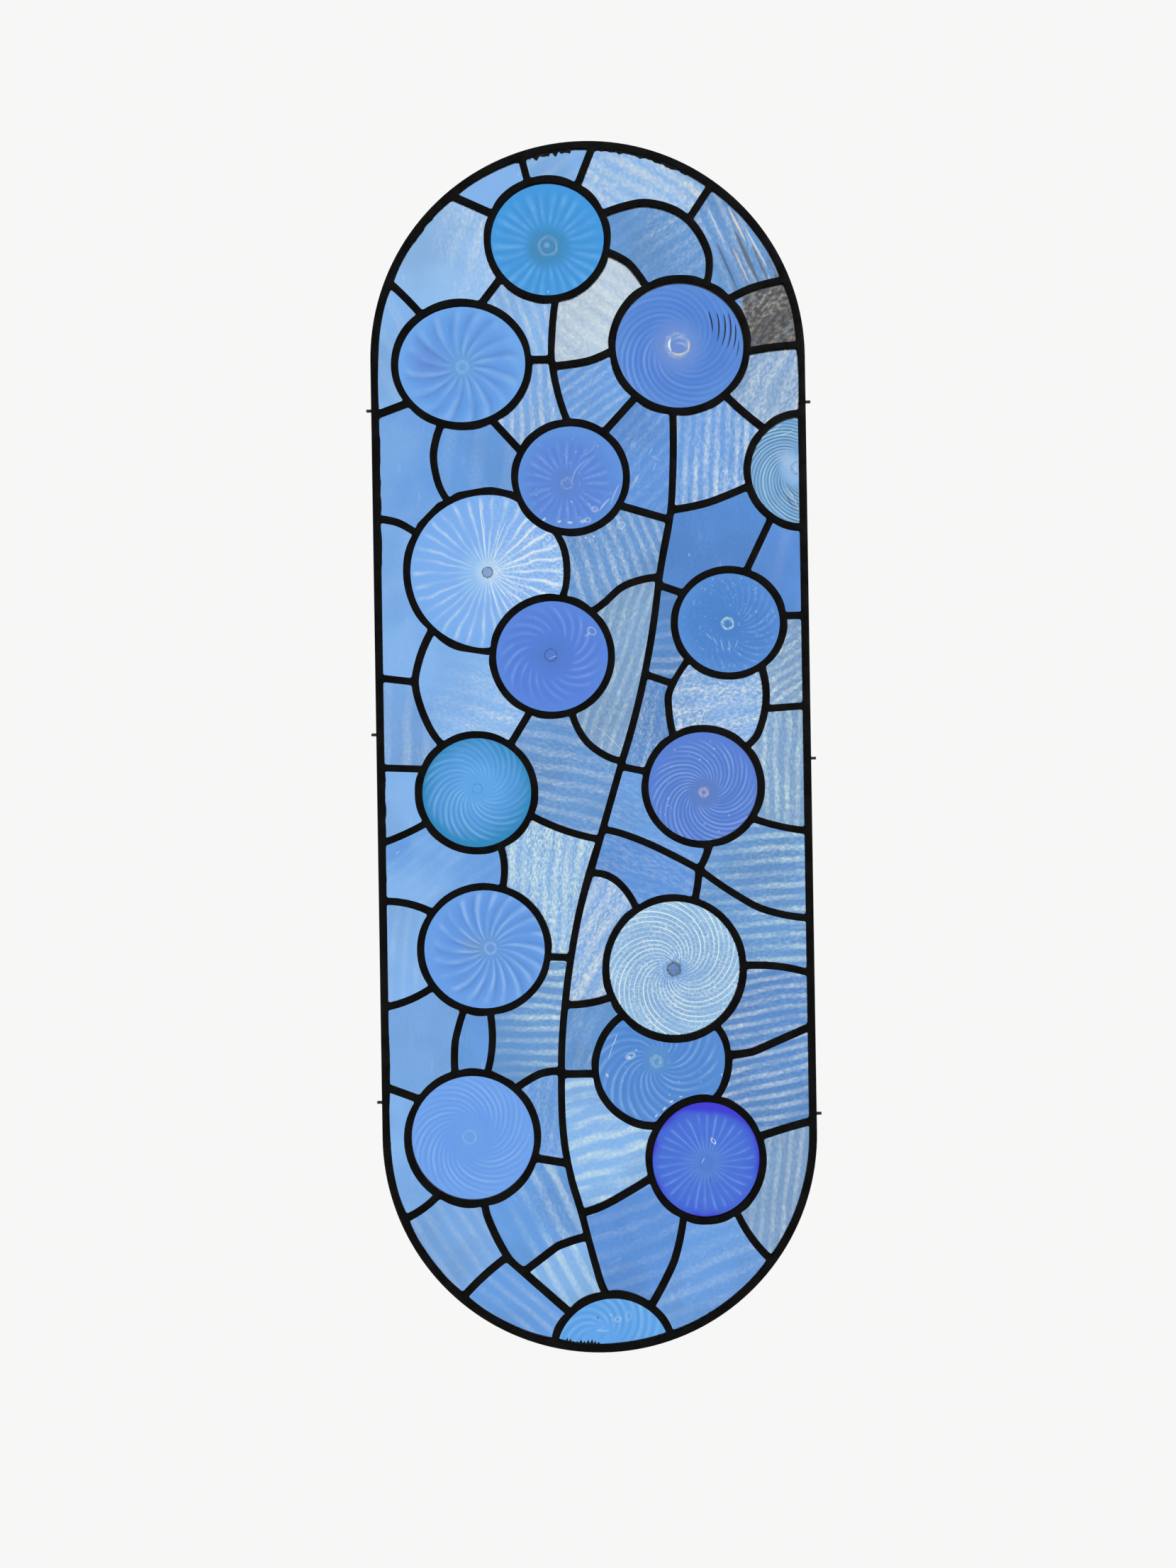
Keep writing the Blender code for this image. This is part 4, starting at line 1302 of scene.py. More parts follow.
# Each roundel. shape: middle of the glass that shows (right, up), half width, half length and lean;
# middle: where its scar is; twist: how the ribs wind, radians a metre, outward to the left if above 0;
# sparks: ink, scale, share, from and to in mm from the scar, strength; cutBy: a point in the cell that
# cuts it.
roundels = {
    "roundel_top": {
        "shape": (-32.5, 429.5, 47.5, 47.5, 0), "middle": (-32.5, 424), "tint": (60, 144, 212),
        "rim": (59, 148, 218), "core": (60, 134, 184), "coreSize": 23, "coreSoft": 0.35,
        "crestAndFleckTint": (110, 178, 234), "ribs": 26, "twist": 0, "sharp": 1.2, "rib": 0.66, "shade": 0.3,
        "shadeTint": (52, 128, 204), "from": 14, "fade": 0.22, "scar": 6.5, "scarInk": "shade",
        "ring": 0.35, "ringWide": 1.4, "loose": 3.0, "slot": "cyan_glass",
        "marks": [
            ("bubble", "white", 0.14, -32, 424, 0, 7.5, 1, 1.4),
            ("spot", "white", 0.16, -33, 425, 0, 3.2, 1, 1.5),
            ("spot", "white", 0.8, -32.5, 385.5, 0, 0.8, 1, 0.4)]},
    "roundel_upper_right": {
        "shape": (78.0, 338.2, 54.0, 52.8, 0), "middle": (76, 338), "tint": (74, 124, 206),
        "rim": (84, 134, 210), "core": (70, 120, 202), "crestAndFleckTint": (134, 172, 236), "ribs": 18,
        "twist": 1250, "sharp": 1.2, "rib": 0.5, "shade": 0.35, "from": 16, "fade": 0.2, "side": 215,
        "sideShare": 0.55, "scar": 9.5, "scarInk": "white", "ring": 0.15, "ringWide": 2, "wobble": 6,
        "glow": 0.1, "bead": 0.15, "loose": 1.4,
        "sparks": [("warm", 420, 0.35, 5.5, 10.5, 1.0), ("white", 600, 0.25, 6, 10.5, 1.0)],
        "slot": "violet_glass",
        "marks": [
            ("streak", "black", 1.0, 105.3, 358, -80, 9, 0.9, 11),
            ("streak", "black", 1.0, 111.5, 353.5, -90, 12, 1, 11),
            ("streak", "black", 1.0, 116.8, 351, -94, 13.5, 1.1, 12),
            ("streak", "black", 1.0, 121.5, 350, -93, 15, 1, 12),
            ("streak", "black", 1.0, 125.5, 345, -95, 10.5, 0.9, 11),
            ("streak", "black", 0.9, 127.5, 335, -99, 7, 0.7, 10),
            ("streak", "warm", 0.95, 77, 330.5, 0, 8, 1.3, -55),
            ("streak", "white", 0.9, 69, 339, 90, 5.5, 1.8, 60),
            ("streak", "warm", 0.7, 86, 338, 90, 5.5, 0.9, -60),
            ("streak", "white", 0.4, 77.5, 345, 0, 6, 0.8, 60),
            ("streak", "white", 0.5, 80, 340, -20, 5, 0.8, 80)]},
    "roundel_upper_left": {
        "shape": (-106.5, 325.0, 53.5, 49.0, 0), "middle": (-106, 323), "tint": (94, 152, 223),
        "rim": (106, 163, 230), "core": (96, 154, 216), "coreSize": 24, "crestAndFleckTint": (158, 198, 242),
        "ribs": 16, "twist": -110, "sharp": 2.2, "rib": 0.36, "shade": 0.4, "from": 6, "fade": 0.16,
        "to": 0.94, "loose": 3.0, "bead": 0.2, "scar": 4.6, "scarInk": "white", "ring": 0.12,
        "ringWide": 2.2, "wobble": 1.2, "cloud": 0.7, "cloudAt": (-134, 326), "cloudSize": 24,
        "cloudTint": (94, 134, 208), "slot": "sky_glass"},
    "roundel_upper_middle": {
        "shape": (-16.0, 228.0, 44.0, 43.3, 0), "middle": (-19, 223), "tint": (85, 130, 211),
        "rim": (92, 142, 216), "core": (88, 128, 204), "crestAndFleckTint": (140, 172, 232), "ribs": 24, "twist": 0,
        "sharp": 2.4, "rib": 0.6, "bead": 0.75, "from": 10, "to": 0.85, "fade": 0.2, "loose": 3,
        "scar": 4.5, "scarInk": "warm", "ring": 0.2, "wobble": 5,
        "sparks": [("warm", 560, 0.4, 0, 4.5, 1.0), ("white", 380, 0.03, 8, 42, 0.6)],
        "slot": "violet_glass",
        "marks": [
            ("streak", "white", 0.35, -10, 236, 52, 13, 0.7, 22),
            ("streak", "white", 0.3, 1, 250, 42, 8, 0.5, -40),
            ("streak", "white", 0.36, 12, 205, 48, 7, 1.3, 14),
            ("bubble", "white", 0.25, 4, 201, 0, 2.0, 1.2, 1.0),
            ("spot", "white", 0.35, -6, 191, 10, 2.2, 1.6, 1.2),
            ("bubble", "white", 0.25, -2, 192, 0, 1.8, 1.2, 0.9),
            ("spot", "white", 0.5, -17, 190, 0, 1.4, 2.2, 0.8),
            ("spot", "white", 0.5, -26, 191, 20, 1.3, 1.8, 0.7),
            ("spot", "white", 0.5, -39, 193, 40, 1.4, 1.8, 0.8),
            ("streak", "white", 0.25, 21, 214, 66, 9, 1.2, 8),
            ("spot", "warm", 0.9, -15.5, 207.5, 0, 0.8, 1, 0.4)]},
    "roundel_right_edge": {
        "shape": (182.0, 231.0, 45.5, 45.5, 0), "cutBy": (160, 231),
        "middle": (176, 233), "tint": (104, 156, 204),
        "rim": (92, 152, 204), "core": (142, 180, 222), "coreSize": 16, "crestAndFleckTint": (168, 202, 230),
        "ribs": 26, "twist": 2100, "sharp": 1.4, "rib": 0.9, "shade": 0.95, "shadeTint": (44, 82, 120),
        "from": 14, "fade": 0.14, "loose": 2, "bead": 0.1, "scar": 5, "wobble": 4, "cloud": 0.8,
        "cloudAt": (168, 240), "cloudSize": 13, "cloudTint": (156, 188, 224),
        "sparks": [("warm", 420, 0.12, 3, 10, 0.8)], "slot": "sky_glass",
        "marks": [
            ("streak", "black", 0.8, 168, 207, -58, 8, 0.5, 12),
            ("streak", "black", 0.7, 171, 214, -60, 8, 0.5, 12),
            ("streak", "warm", 0.7, 173, 206, -62, 9, 0.5, 12),
            ("streak", "white", 0.7, 157, 266, 32, 8, 0.4, -14),
            ("streak", "white", 0.7, 166, 262, 18, 9, 0.4, -14)]},
    "roundel_large": {
        "shape": (-88.0, 149.8, 64.5, 64.5, 0), "cutBy": (-87.5, 149),
        "middle": (-87.5, 149), "tint": (120, 170, 234),
        "rim": (116, 168, 232), "core": (136, 184, 236), "coreSize": 30, "crestAndFleckTint": (228, 244, 246),
        "ribs": 34, "twist": 0, "sharp": 4.6, "rib": 1.0, "shade": 0.0, "from": 3.6, "fade": 0.1,
        "to": 1.0, "loose": 6.5, "bead": 0.35, "side": 5, "sideShare": 0.6, "faint": 0.22, "glow": 0.3,
        "scar": 4.4, "scarInk": "black", "ring": 0.9, "ringWide": 0.7, "wobble": 0.6, "scarIn": 0.6,
        "scarInInk": "shade", "speckle": 0.6, "speckleSide": True, "slot": "sky_glass",
        "marks": [
            ("streak", "white", 0.8, -91, 184, -84, 24, 0.6, 0),
            ("streak", "white", 0.7, -78, 176, 72, 20, 0.6, 6),
            ("streak", "white", 0.7, -82, 128, -76, 17, 0.6, 0),
            ("streak", "white", 0.6, -66, 156, 22, 18, 0.5, 0),
            ("streak", "white", 0.55, -64, 137, -40, 22, 0.5, -5),
            ("streak", "white", 0.5, -68, 128, -52, 20, 0.5, 4)]},
    "roundel_middle": {
        "shape": (-34.0, 77.0, 47.0, 46.6, 0), "middle": (-35, 78), "tint": (78, 122, 211),
        "rim": (84, 129, 215), "core": (78, 120, 204), "crestAndFleckTint": (134, 168, 236), "ribs": 20,
        "twist": 600, "sharp": 2.4, "rib": 0.48, "shade": 0.15, "from": 16, "fade": 0.2, "to": 0.93,
        "loose": 2.2, "scar": 5.2, "scarInk": "black", "ring": 0.6, "ringWide": 0.7, "wobble": 0.5,
        "glow": 0.12, "glowInk": "shade", "slot": "violet_glass",
        "marks": [
            ("bubble", "white", 0.28, 0, 98, -35, 2.8, 1.3, 0.7),
            ("spot", "white", 0.25, -4, 95, 40, 1.6, 2.6, 1.4),
            ("streak", "white", 0.45, -33, 76.5, 20, 4, 0.5, 40)]},
    "roundel_right": {
        "shape": (116.0, 103.0, 43.0, 41.8, 0), "middle": (115, 102.5), "tint": (70, 127, 200),
        "rim": (80, 136, 208), "core": (68, 123, 196), "crestAndFleckTint": (136, 180, 232), "ribs": 30,
        "twist": 700, "sharp": 2.6, "rib": 0.62, "bead": 1.0, "shade": 0.3, "from": 10, "fade": 0.12,
        "to": 0.98, "loose": 4, "side": -12, "sideShare": 0.85, "scar": 4.6, "scarInk": "green",
        "ring": 0.7, "ringWide": 1.3, "wobble": 4,
        "sparks": [
            ("shade", 700, 0.4, 0, 4, 0.8), ("green", 560, 0.45, 1, 4.6, 1.0),
            ("white", 420, 0.05, 8, 41, 0.7), ("mist", 210, 0.16, 12, 40, 0.4)],
        "seeds": 0.6, "slot": "sky_glass",
        "marks": [
            ("streak", "white", 0.4, 104, 88, -62, 4, 0.6, 0),
            ("streak", "white", 0.4, 110, 84, -75, 6, 0.6, 0),
            ("streak", "white", 0.35, 116, 83, -84, 6, 0.6, 0),
            ("streak", "white", 0.3, 122, 85, -112, 4, 0.5, 0),
            ("streak", "white", 0.5, 99, 92, -46, 4, 0.5, 0)]},
    "roundel_left": {
        "shape": (-99.6, -37.3, 45.9, 45.9, 0), "middle": (-99, -34), "tint": (74, 148, 214),
        "rim": (36, 130, 186), "core": (90, 160, 224), "coreSize": 30, "crestAndFleckTint": (150, 202, 244),
        "ribs": 26, "twist": 1050, "sharp": 1.3, "rib": 0.44, "shade": 0.4, "shadeTint": (48, 114, 190),
        "from": 8, "fade": 0.14, "to": 0.98, "loose": 2.4, "bead": 0.1, "side": 225, "sideShare": 0.5,
        "scar": 4.2, "ring": 0.55, "ringWide": 0.6, "wobble": 0.7, "slot": "cyan_glass"},
    "roundel_right_middle": {
        "shape": (92.0, -35.0, 46.0, 45.8, 0), "middle": (92.5, -40), "tint": (76, 118, 200),
        "rim": (82, 122, 206), "core": (88, 122, 194), "crestAndFleckTint": (150, 184, 238), "ribs": 30,
        "twist": 1400, "sharp": 1.5, "rib": 0.52, "shade": 0.35, "shadeTint": (66, 98, 182), "from": 9,
        "fade": 0.16, "to": 0.98, "loose": 3.6, "bead": 0.2, "scar": 3.2, "scarInk": "warm", "ring": 0.3,
        "ringWide": 2, "wobble": 3,
        "sparks": [("warm", 560, 0.6, 0, 3.0, 1.0), ("white", 330, 0.035, 24, 44, 0.9)],
        "slot": "violet_glass"},
    "roundel_lower_left": {
        "shape": (-95.0, -169.8, 50.7, 49.8, 0), "middle": (-90, -169), "tint": (92, 147, 220),
        "rim": (100, 154, 226), "core": (96, 148, 214), "crestAndFleckTint": (160, 196, 242), "ribs": 20,
        "twist": -180, "sharp": 3, "rib": 0.55, "shade": 0.35, "from": 6, "fade": 0.12, "to": 0.96,
        "loose": 2.2, "bead": 0.1, "scar": 4.6, "scarInk": "white", "ring": 0.16, "ringWide": 1.6,
        "wobble": 1.0, "cloud": 0.6, "cloudAt": (-104, -167), "cloudSize": 14,
        "cloudTint": (112, 146, 190), "slot": "sky_glass"},
    "roundel_spiral": {
        "shape": (65.5, -188.5, 55.0, 56.5, 0), "middle": (65, -189), "tint": (118, 163, 212),
        "rim": (130, 177, 220), "core": (98, 150, 212), "crestAndFleckTint": (226, 242, 236), "ribs": 30,
        "twist": 1350, "sharp": 8, "rib": 1.0, "shade": 0.15, "shadeTint": (96, 146, 206), "from": 7,
        "fade": 0.06, "to": 1.02, "loose": 1.0, "bead": 0.1, "scar": 5.2, "scarInk": "grey", "ring": 1.0,
        "ringWide": 1.5, "wobble": 3.4, "scarIn": 0.7, "scarInInk": "shade", "speckle": 0.55,
        "slot": "pale_glass"},
    "roundel_cut": {
        "shape": (53.5, -269.0, 53.7, 49.5, 20), "cutBy": (49, -267),
        "middle": (49, -267), "tint": (74, 130, 204),
        "rim": (80, 136, 206), "core": (84, 138, 200), "coreSize": 14, "crestAndFleckTint": (142, 184, 234),
        "ribs": 24, "twist": 720, "sharp": 2.6, "rib": 0.72, "shade": 0.25, "from": 8, "fade": 0.14,
        "to": 0.98, "loose": 2, "side": 280, "sideShare": 0.4, "scar": 4.2, "scarInk": "green",
        "ring": 0.2, "ringWide": 2.2, "wobble": 5,
        "sparks": [
            ("shade", 700, 0.5, 0, 4, 0.9), ("green", 560, 0.6, 0, 4, 1.0),
            ("white", 900, 0.3, 0, 4, 1.0), ("white", 380, 0.03, 10, 46, 0.7)],
        "slot": "sky_glass",
        "marks": [
            ("spot", "green", 0.8, 26, -263, 25, 1.4, 1.5, 1.0),
            ("bubble", "white", 0.3, 27, -262, 25, 2.2, 1.6, 1.0),
            ("spot", "green", 0.6, 32, -257, -60, 0.9, 1.7, 0.7),
            ("streak", "white", 0.6, 14, -249, 66, 6, 0.6, -20),
            ("streak", "white", 0.5, 10, -259, 72, 6, 0.5, 12),
            ("spot", "white", 0.5, 7, -278, -60, 1.2, 2.2, 0.7),
            ("spot", "white", 0.6, 61, -301, 30, 1.0, 2.4, 0.5),
            ("spot", "white", 0.6, 55, -307, 45, 1.0, 2.6, 0.5),
            ("spot", "white", 0.6, 48, -313, 50, 0.9, 2.4, 0.5),
            ("spot", "white", 0.5, 69, -297, 14, 0.8, 2.4, 0.4),
            ("spot", "white", 0.6, 104, -279, 70, 0.7, 2, 0.4)]},
    "roundel_deep": {
        "shape": (89.5, -350.4, 45.0, 48.4, 0), "middle": (89.5, -353), "tint": (66, 110, 210),
        "rim": (58, 90, 206), "core": (76, 122, 206), "coreSize": 24, "crestAndFleckTint": (124, 160, 234),
        "ribs": 30, "twist": 60, "sharp": 5, "rib": 0.6, "shade": 0.25, "shadeTint": (66, 96, 204),
        "from": 5, "fade": 0.1, "to": 0.86, "loose": 4.5, "bead": 0.3, "scar": 5, "ring": 0.45,
        "ringWide": 0.7, "wobble": 1.2, "edge": 0.85, "slot": "deep_glass",
        "marks": [
            ("bubble", "white", 0.6, 96, -335, -55, 1.3, 2.0, 0.5),
            ("spot", "grey", 0.7, 96, -334, -55, 0.6, 2, 0.3),
            ("streak", "black", 0.7, 93, -368, 86, 3, 0.4, 0),
            ("streak", "white", 0.7, 87, -351, 60, 3, 0.5, 40)]},
    "roundel_bottom_left": {
        "shape": (-107.5, -329.2, 51.7, 52.5, 0), "middle": (-110, -328.5), "tint": (99, 152, 228),
        "rim": (105, 157, 231), "core": (101, 154, 227), "crestAndFleckTint": (140, 186, 244), "ribs": 26,
        "twist": 1250, "sharp": 1.0, "rib": 0.62, "shade": 0.45, "shadeTint": (86, 134, 216), "from": 14,
        "fade": 0.36, "to": 1.06, "loose": 4, "bead": 0.1, "scar": 5.4, "scarInk": "white", "ring": 0.14,
        "ringWide": 1.0, "wobble": 1.2, "slot": "sky_glass"},
    "roundel_foot": {
        "shape": (9.0, -515.0, 48.5, 48.5, 0), "cutBy": (9, -485),
        "middle": (0, -499), "tint": (88, 156, 226),
        "rim": (92, 160, 228), "core": (94, 160, 230), "crestAndFleckTint": (134, 194, 242), "ribs": 14,
        "twist": 850, "sharp": 1.4, "rib": 0.6, "shade": 0.3, "shadeTint": (64, 122, 198), "from": 9,
        "fade": 0.16, "to": 1.2, "loose": 1.6, "bead": 0.1, "side": 60, "sideShare": 0.4, "scar": 2,
        "ring": 0.0, "slot": "cyan_glass",
        "marks": [
            ("bubble", "white", 0.25, 13, -484.5, 20, 2.0, 1.2, 0.9),
            ("bubble", "white", 0.1, 22, -482, 80, 2.4, 1.5, 1.2),
            ("spot", "black", 0.8, -4, -483, 0, 0.9, 1.2, 0.4),
            ("spot", "white", 0.6, 7, -481, 0, 0.7, 1.5, 0.4),
            ("streak", "white", 0.75, 0, -494, 0, 6, 0.5, 0),
            ("streak", "white", 0.4, -2, -492.5, 28, 4, 0.4, 0)]},
}


def spunMaterial(name, look, radius):
    material, tree, shader = glassShader(name)
    where = addNode(tree, "ShaderNodeTexCoord").outputs["Object"]
    vector = centred(tree, where, *look["middle"])
    away = radial(tree, vector)[1]
    broad = noiseAt(tree, where, 30, 3)
    uneven = calc(tree, "MULTIPLY_ADD", minus(tree, broad, 0.5), look["wander"] * mm, away)
    coreSize = look["coreSize"] * mm
    colour = tone(tree, ramp(tree, uneven, coreSize * look["coreSoft"], coreSize), asLit(*look["core"]),
                  asLit(*look["tint"]))
    colour = tone(tree, ramp(tree, uneven, radius * look["rimFrom"], radius), colour, asLit(*look["rim"]))
    if look["cloud"]:
        cloudHere = centred(tree, where, *look["cloudAt"])
        cloudSize = look["cloudSize"] * mm
        cloud = useGroup(tree, pontil, {"Vector": cloudHere, "Size": cloudSize, "Rim": cloudSize * 0.85,
                                        "Wobble": cloudSize})["Inside"]
        colour = tone(tree, times(tree, cloud, look["cloud"]), colour, asLit(*look["cloudTint"]))
    ribs = useGroup(tree, spun, {
        "Vector": vector, "Ribs": look["ribs"], "Twist": look["twist"], "Sharp": look["sharp"],
        "From": look["from"] * mm, "To": radius * look["to"], "Fade": radius * look["fade"],
        "Loose": look["loose"], "Bead": look["bead"], "Faint": look["faint"],
        "Side": -math.radians(look["side"]), "SideShare": look["sideShare"]})
    speckle = useGroup(tree, grain, {"Vector": where, "Scale": look["speckleScale"], "Stretch": 1.1})["Mask"]
    fleck = times(tree, speckle, look["speckle"])
    if look["speckleSide"]:
        fleck = times(tree, fleck, calc(tree, "POWER", ribs["Side"], 1.8))
    colour = tone(tree, fleck, colour, asLit(*look["crestAndFleckTint"]))
    # painted shade on one side of each rib, then a painted highlight along each rib's crest
    colour = tone(tree, times(tree, ribs["Shade"], look["shade"]), colour, asLit(*look["shadeTint"]))
    colour = tone(tree, times(tree, ribs["Light"], look["rib"]), colour, asLit(*look["crestAndFleckTint"]))
    if look["edge"]:
        edge = ramp(tree, uneven, radius - look["edgeFrom"] * mm, radius - look["edgeTo"] * mm)
        colour = tone(tree, times(tree, edge, look["edge"]), colour, asLit(*look["edgeTint"]))
    scar = useGroup(tree, pontil, {"Vector": vector, "Size": look["scar"] * mm, "Rim": look["ringWide"] * mm,
                                   "Wobble": look["wobble"] * mm})
    if look["glow"]:
        colour = tone(tree, times(tree, scar["Glow"], look["glow"]), colour, inks[look["glowInk"]])
    if look["scarIn"]:
        colour = tone(tree, times(tree, scar["Inside"], look["scarIn"]), colour, inks[look["scarInInk"]])
    if look["ring"]:
        ragged = ramp(tree, noiseAt(tree, where, 420, 3), 0.36, 0.56, 0.35, 1)
        ring = times(tree, scar["Ring"], ragged, look["ring"])
        colour = tone(tree, ring, colour, inks[look["scarInk"]])
    dots = useGroup(tree, seeds, {"Vector": vector, "Scale": look["seedScale"], "Stretch": 1, "Size": 0.08,
                                  "Share": 0.25})["Mask"]
    colour = tone(tree, times(tree, dots, look["seeds"]), colour, inks["white"])
    for ink, scale, share, start, stop, strength in look["sparks"]:
        glint = useGroup(tree, sparkle, {"Vector": vector, "Scale": scale, "Share": share, "From": start * mm,
                                         "To": stop * mm})["Mask"]
        colour = tone(tree, times(tree, glint, strength), colour, inks[ink])
    colour = addMarks(tree, where, colour, look["marks"])
    # the crest wave that carries the painted highlight also sets the ribs' roughness and bump
    rough = ramp(tree, ribs["Light"], 0, 1, *look["rough"])
    connect(tree, shader, colour, rough, ribs["Light"], look["bump"], look["bumpDeep"] * mm)
    return material


def spunRoundel(name, look):
    right, up, halfWide, halfLong, lean = look["shape"]
    centre = Vector(place(right, up))
    middle = Vector(place(*look["middle"]))
    scar = look["scar"] * mm
    radius = max(halfWide, halfLong) * mm + spunShape["under"]
    # half the section, from the middle of the sky side out to the rim, with four rings to a turn of the ribs
    rings = max(spunShape["rings"], math.ceil(radius * abs(look["twist"]) / (2 * math.pi) * 4))
    thick, thin, rim = spunShape["middle"], spunShape["thin"], spunShape["rim"]
    scarEdge = scar * 1.2
    bodyEdge = radius - spunShape["rimWide"]
    section = [(0, thick * 0.8), (scar * 0.55, thick * 0.86), (scar * 0.9, thick * 1.1), (scarEdge, thick)]
    for k in range(1, rings):
        share = k / rings
        section.append((scarEdge + (bodyEdge - scarEdge) * share, thin + (thick - thin) * (1 - share) ** 2.5))
    section += [(bodyEdge, rim), (radius - spunShape["rimRound"], rim * 0.8), (radius, 0)]
    under = [(r, -z) for r, z in reversed(section[:-1])]
    line = section + under
    steps = max(96, min(216, look["ribs"] * 6))
    disc = meshPiece(name, [(r, 0, z) for r, z in line], [], [(i, i + 1) for i in range(len(line) - 1)])
    edit(disc, "VERT")
    selectAll()
    bpy.ops.mesh.spin(steps=steps, angle=2 * math.pi, center=(0, 0, 0), axis=(0, 0, 1))
    selectAll()
    bpy.ops.mesh.remove_doubles(threshold=spunShape["weld"])
    bpy.ops.mesh.normals_make_consistent(inside=False)
    done()
    # ribs, then the oval of the glass and the off-centre scar
    for vertex in disc.data.vertices:
        r = math.hypot(vertex.co.x, vertex.co.y)
        angle = math.atan2(vertex.co.y, vertex.co.x)
        start = min(1, max(0, (r - scarEdge) / (spunShape["ribRise"] * radius)))
        stop = min(1, max(0, (radius - spunShape["ribEnd"] - r) / spunShape["ribFall"]))
        rib = math.cos(look["ribs"] * angle + look["twist"] * r) * spunShape["ribHeight"] * start * stop
        vertex.co.z += rib if vertex.co.z > 0 else -rib
    shift = middle - centre
    turn = Matrix.Rotation(-math.radians(lean), 2)
    stretch = (halfWide * mm + spunShape["under"]) / radius, (halfLong * mm + spunShape["under"]) / radius
    for vertex in disc.data.vertices:
        r = min(1, math.hypot(vertex.co.x, vertex.co.y) / radius)
        oval = turn @ Vector((vertex.co.x * stretch[0], vertex.co.y * stretch[1]))
        vertex.co.x = centre.x + oval.x + shift.x * (1 - r) ** 1.5
        vertex.co.y = centre.y + oval.y + shift.y * (1 - r) ** 1.5
    return disc, radius


for node, changes in roundels.items():
    look = dict(spunGlass, **changes)
    disc, radius = spunRoundel(node + "_glass", look)
    if look["cutBy"]:
        cutTo(disc, grown(cellAt(*look["cutBy"]), sheetGlass["under"]))
    finishPiece(disc, spunMaterial(node + "_glass", look, radius), [node], 40)
print("roundels:", len(roundels))


# Dark strips that show past the border's lead, on the room side. The toothed one at the foot is old cement;
# the two over the top arch and top right stand for cement and dirt and also for the border's shadow, painted
# as a dark strip; the one at the top left and those down the left side are the border's painted shadow, and
# the two beside the foot are plain dark strips. Each stretch: the end of the panel it is at (1 top, -1 foot,
# 0 a straight side), that side (-1 left), from and to in degrees about the end's middle or in mm up, the
# least and the most that it shows, and its step.
darkStrips = {
    "hidden": 1.2 * mm,  # how far it goes in under the lead
    "thick": 0.45 * mm,
    "intoGlass": 0.04 * mm,
    "borderWide": 6.4 * mm,
    "stretches": {
        "cement_foot": (-1, 0, -101.5, -71.5, 0.4, 4.6, 1.5),
        "cement_and_shadow_top_arch": (1, 0, 109.5, 93.6, 0.8, 4.4, 0.7),
        "cement_and_shadow_top_right": (1, 0, 89.0, 60.5, 0.5, 2.8, 1.0),
        "border_shadow_top_left": (1, 0, 151.0, 128.0, 0.2, 1.6, 1.4),
        "border_shadow_left_upper": (0, -1, 268, 152, 0.0, 1.0, 2.4),
        "border_shadow_left_middle": (0, -1, -6, -118, 0.0, 1.1, 2.4),
        "border_shadow_left_lower": (0, -1, -236, -300, 0.0, 0.9, 2.4),
        "dark_strip_foot_left": (-1, 0, -118.0, -151.0, 0.0, 0.8, 1.6),
        "dark_strip_foot_right": (-1, 0, -64.0, -47.0, 0.1, 1.2, 0.9),
    },
    "toothed": "cement_foot",
    "bigTeeth": 0.36,  # share of its length, from the left
    "lowTeeth": 0.28,  # how tall the others are beside the big ones
    "finish": {
        "blotch": 260, "pit": 1400, "dark": (0.002, 0.002, 0.0022), "light": (0.016, 0.014, 0.012),
        "shine": 0.15, "metal": 0.0, "roughBy": "Pit", "rough": (0.8, 0.95), "bump": 0.6,
        "depth": 0.4 * mm,
    },
}


# a dark strip inside the border: old cement at the toothed foot, painted shadow of the border at the top and
# down the left, as told above
def makeDarkStrip(name, look, number):
    end, side, first, last, least, most, step = look
    toothed = name == darkStrips["toothed"]
    inner = endRadius - darkStrips["borderWide"]
    long = math.radians(abs(last - first)) * inner if end else abs(last - first) * mm
    count = max(6, int(long / (step * mm)))
    hidden, shown = [], []
    for k in range(count + 1):
        at = first + (last - first) * k / count
        fine = noise.noise(Vector((k * 0.83, number, 4)))
        rough = noise.noise(Vector((k * 0.21, number * 9.1, 0))) + (0.8 if toothed else 0.3) * fine
        share = min(1, max(0, 0.5 + rough))
        if toothed:
            share = 0.3 + 0.7 * share if k % 2 else 0.12 * share
            share *= 1 if k < darkStrips["bigTeeth"] * count else darkStrips["lowTeeth"]
            at += 0.35 * rough * (last - first) / count
        share *= min(1, k / 2.5, (count - k) / 2.5)
        reach = (least + (most - least) * share) * mm
        for line, r in ((hidden, inner + darkStrips["hidden"]), (shown, inner - reach)):
            if end:
                turn = math.radians(at)
                line.append(Vector((math.cos(turn) * r, -(end * endMiddle + math.sin(turn) * r))))
            else:
                line.append(Vector((side * r, -at * mm)))
    strip = prism(hidden + shown[::-1], darkStrips["thick"] / 2)
    strip.name = name
    strip.data.name = name
    for vertex in strip.data.vertices:
        vertex.co.z -= sheetGlass["half"] + darkStrips["thick"] / 2 - darkStrips["intoGlass"]
    return strip
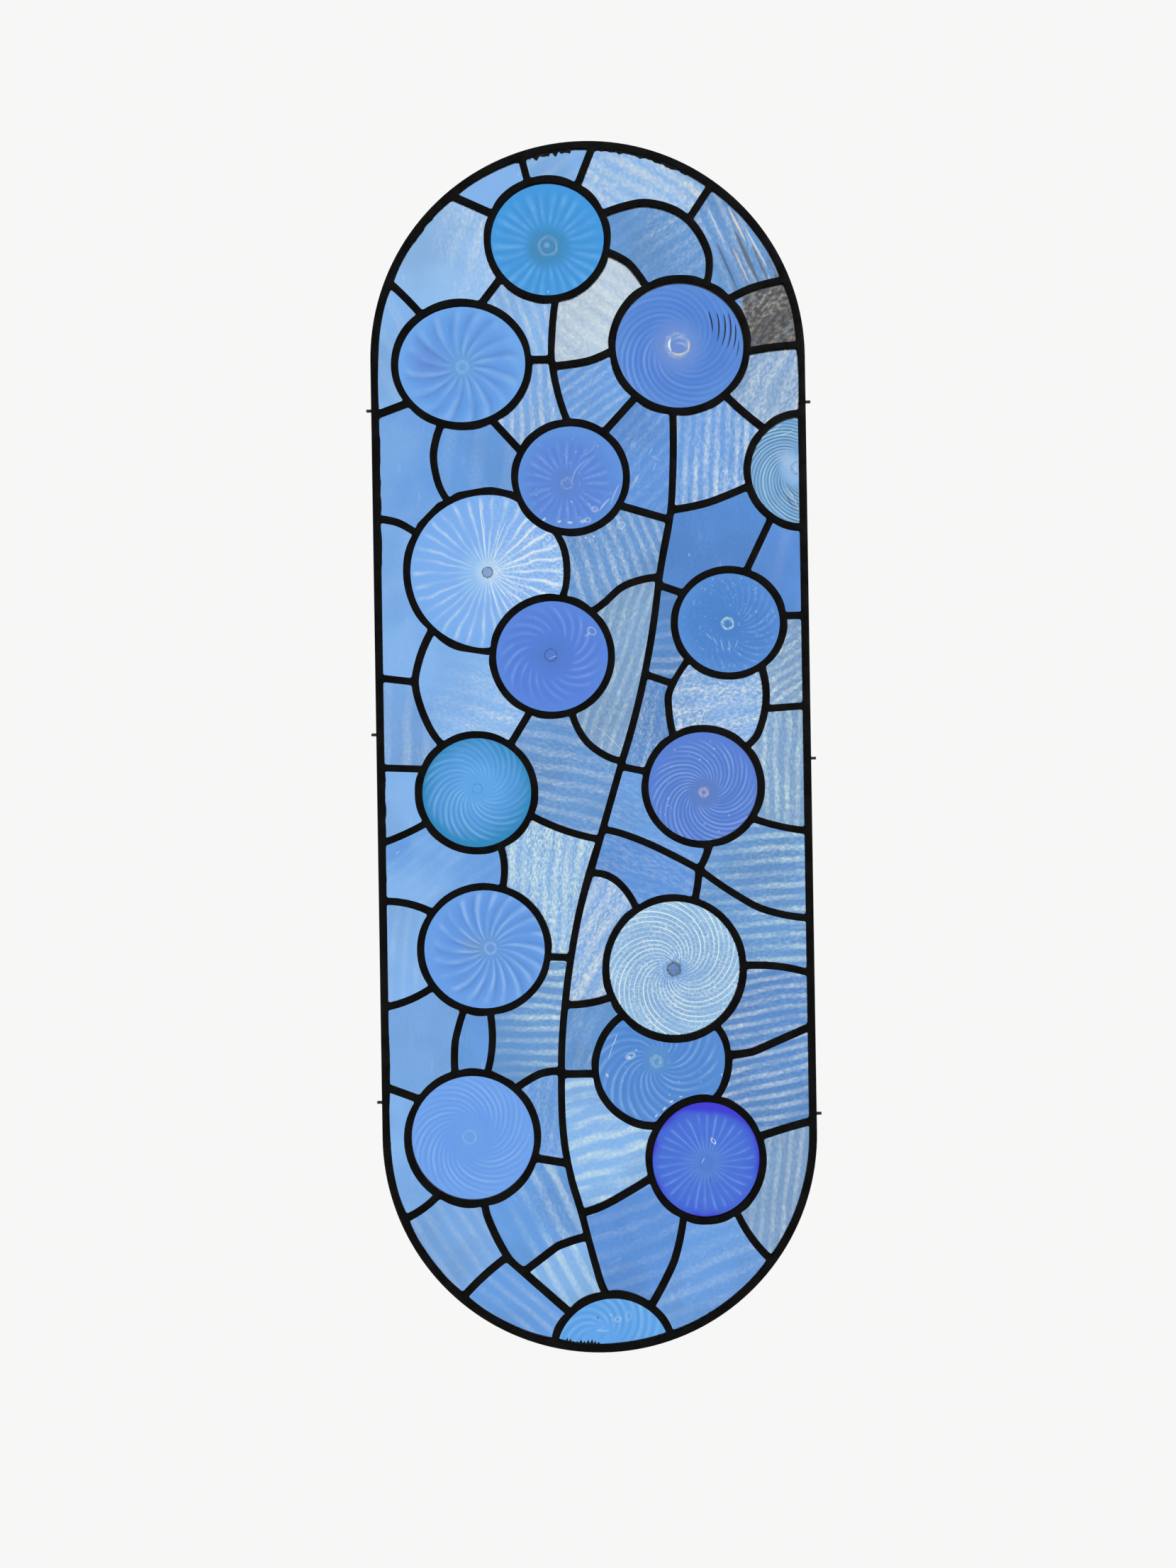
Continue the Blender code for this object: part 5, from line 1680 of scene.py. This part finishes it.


# one dark finish for all the strips: the old cement and the border's painted shadow alike
darkStripFinish = wornMaterial("cementAndPaintedShadow", darkStrips["finish"])
for number, (name, look) in enumerate(darkStrips["stretches"].items()):
    finishPiece(makeDarkStrip(name, look, number), darkStripFinish, [], 20)
print("cement:", len(darkStrips["stretches"]))


# Each pin from its outer end in: how far along and how thick, mm. Solder runs up round it at the border.
pins = {
    "sides": 24,
    "stations": [
        (0, 1.12), (0.16, 1.25), (3.1, 1.25), (3.7, 1.36), (4.15, 1.75), (4.4, 2.1), (5.2, 2.2), (6.6, 1.5)],
    "evenFor": 2 * mm,
    "uneven": 0.144 * mm,
    "finish": {
        "blotch": 300, "pit": 2500, "dark": (0.012, 0.012, 0.013), "light": (0.05, 0.044, 0.038),
        "shine": 0.5, "metal": 0.8, "roughBy": "Pit", "rough": (0.38, 0.6), "bump": 0.3, "depth": 0.2 * mm,
    },
}


def pinRod(name, outer, y, side):
    stations = pins["stations"]
    deselectAll()
    bpy.ops.mesh.primitive_circle_add(vertices=pins["sides"], radius=stations[0][1] * mm, fill_type="NGON",
                                      location=(outer, y, 0), rotation=(0, math.pi / 2, 0))
    pin = bpy.context.object
    pin.name = name
    bpy.ops.object.transform_apply(location=True, rotation=True, scale=True)
    edit(pin)
    selectAll()
    for (before, thin), (along, thick) in zip(stations, stations[1:]):
        extrude(x=side * (before - along) * mm)
        bpy.ops.transform.resize(value=(1, thick / thin, thick / thin),
                                 center_override=(outer - side * along * mm, y, 0))
    facesOut()
    done()
    for vertex in pin.data.vertices:
        along = abs(outer - vertex.co.x)
        if along > pins["evenFor"]:
            push = noise.noise(vertex.co * 700 + Vector((y * 40, 0, 0))) * pins["uneven"]
            away = Vector((0, vertex.co.y - y, vertex.co.z)).normalized()
            vertex.co += away * push
    return pin


pinFinish = wornMaterial("blackenedSteel", pins["finish"])
for node in sorted(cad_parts):
    if not node.startswith("pin_"):
        continue
    low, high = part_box(node)
    side = 1 if low.x > 0 else -1
    outer = high.x if side > 0 else low.x
    pin = pinRod(node + "_rod", outer, (low.y + high.y) / 2, side)
    finishPiece(pin, pinFinish, [node], 40)
print("pins ready")
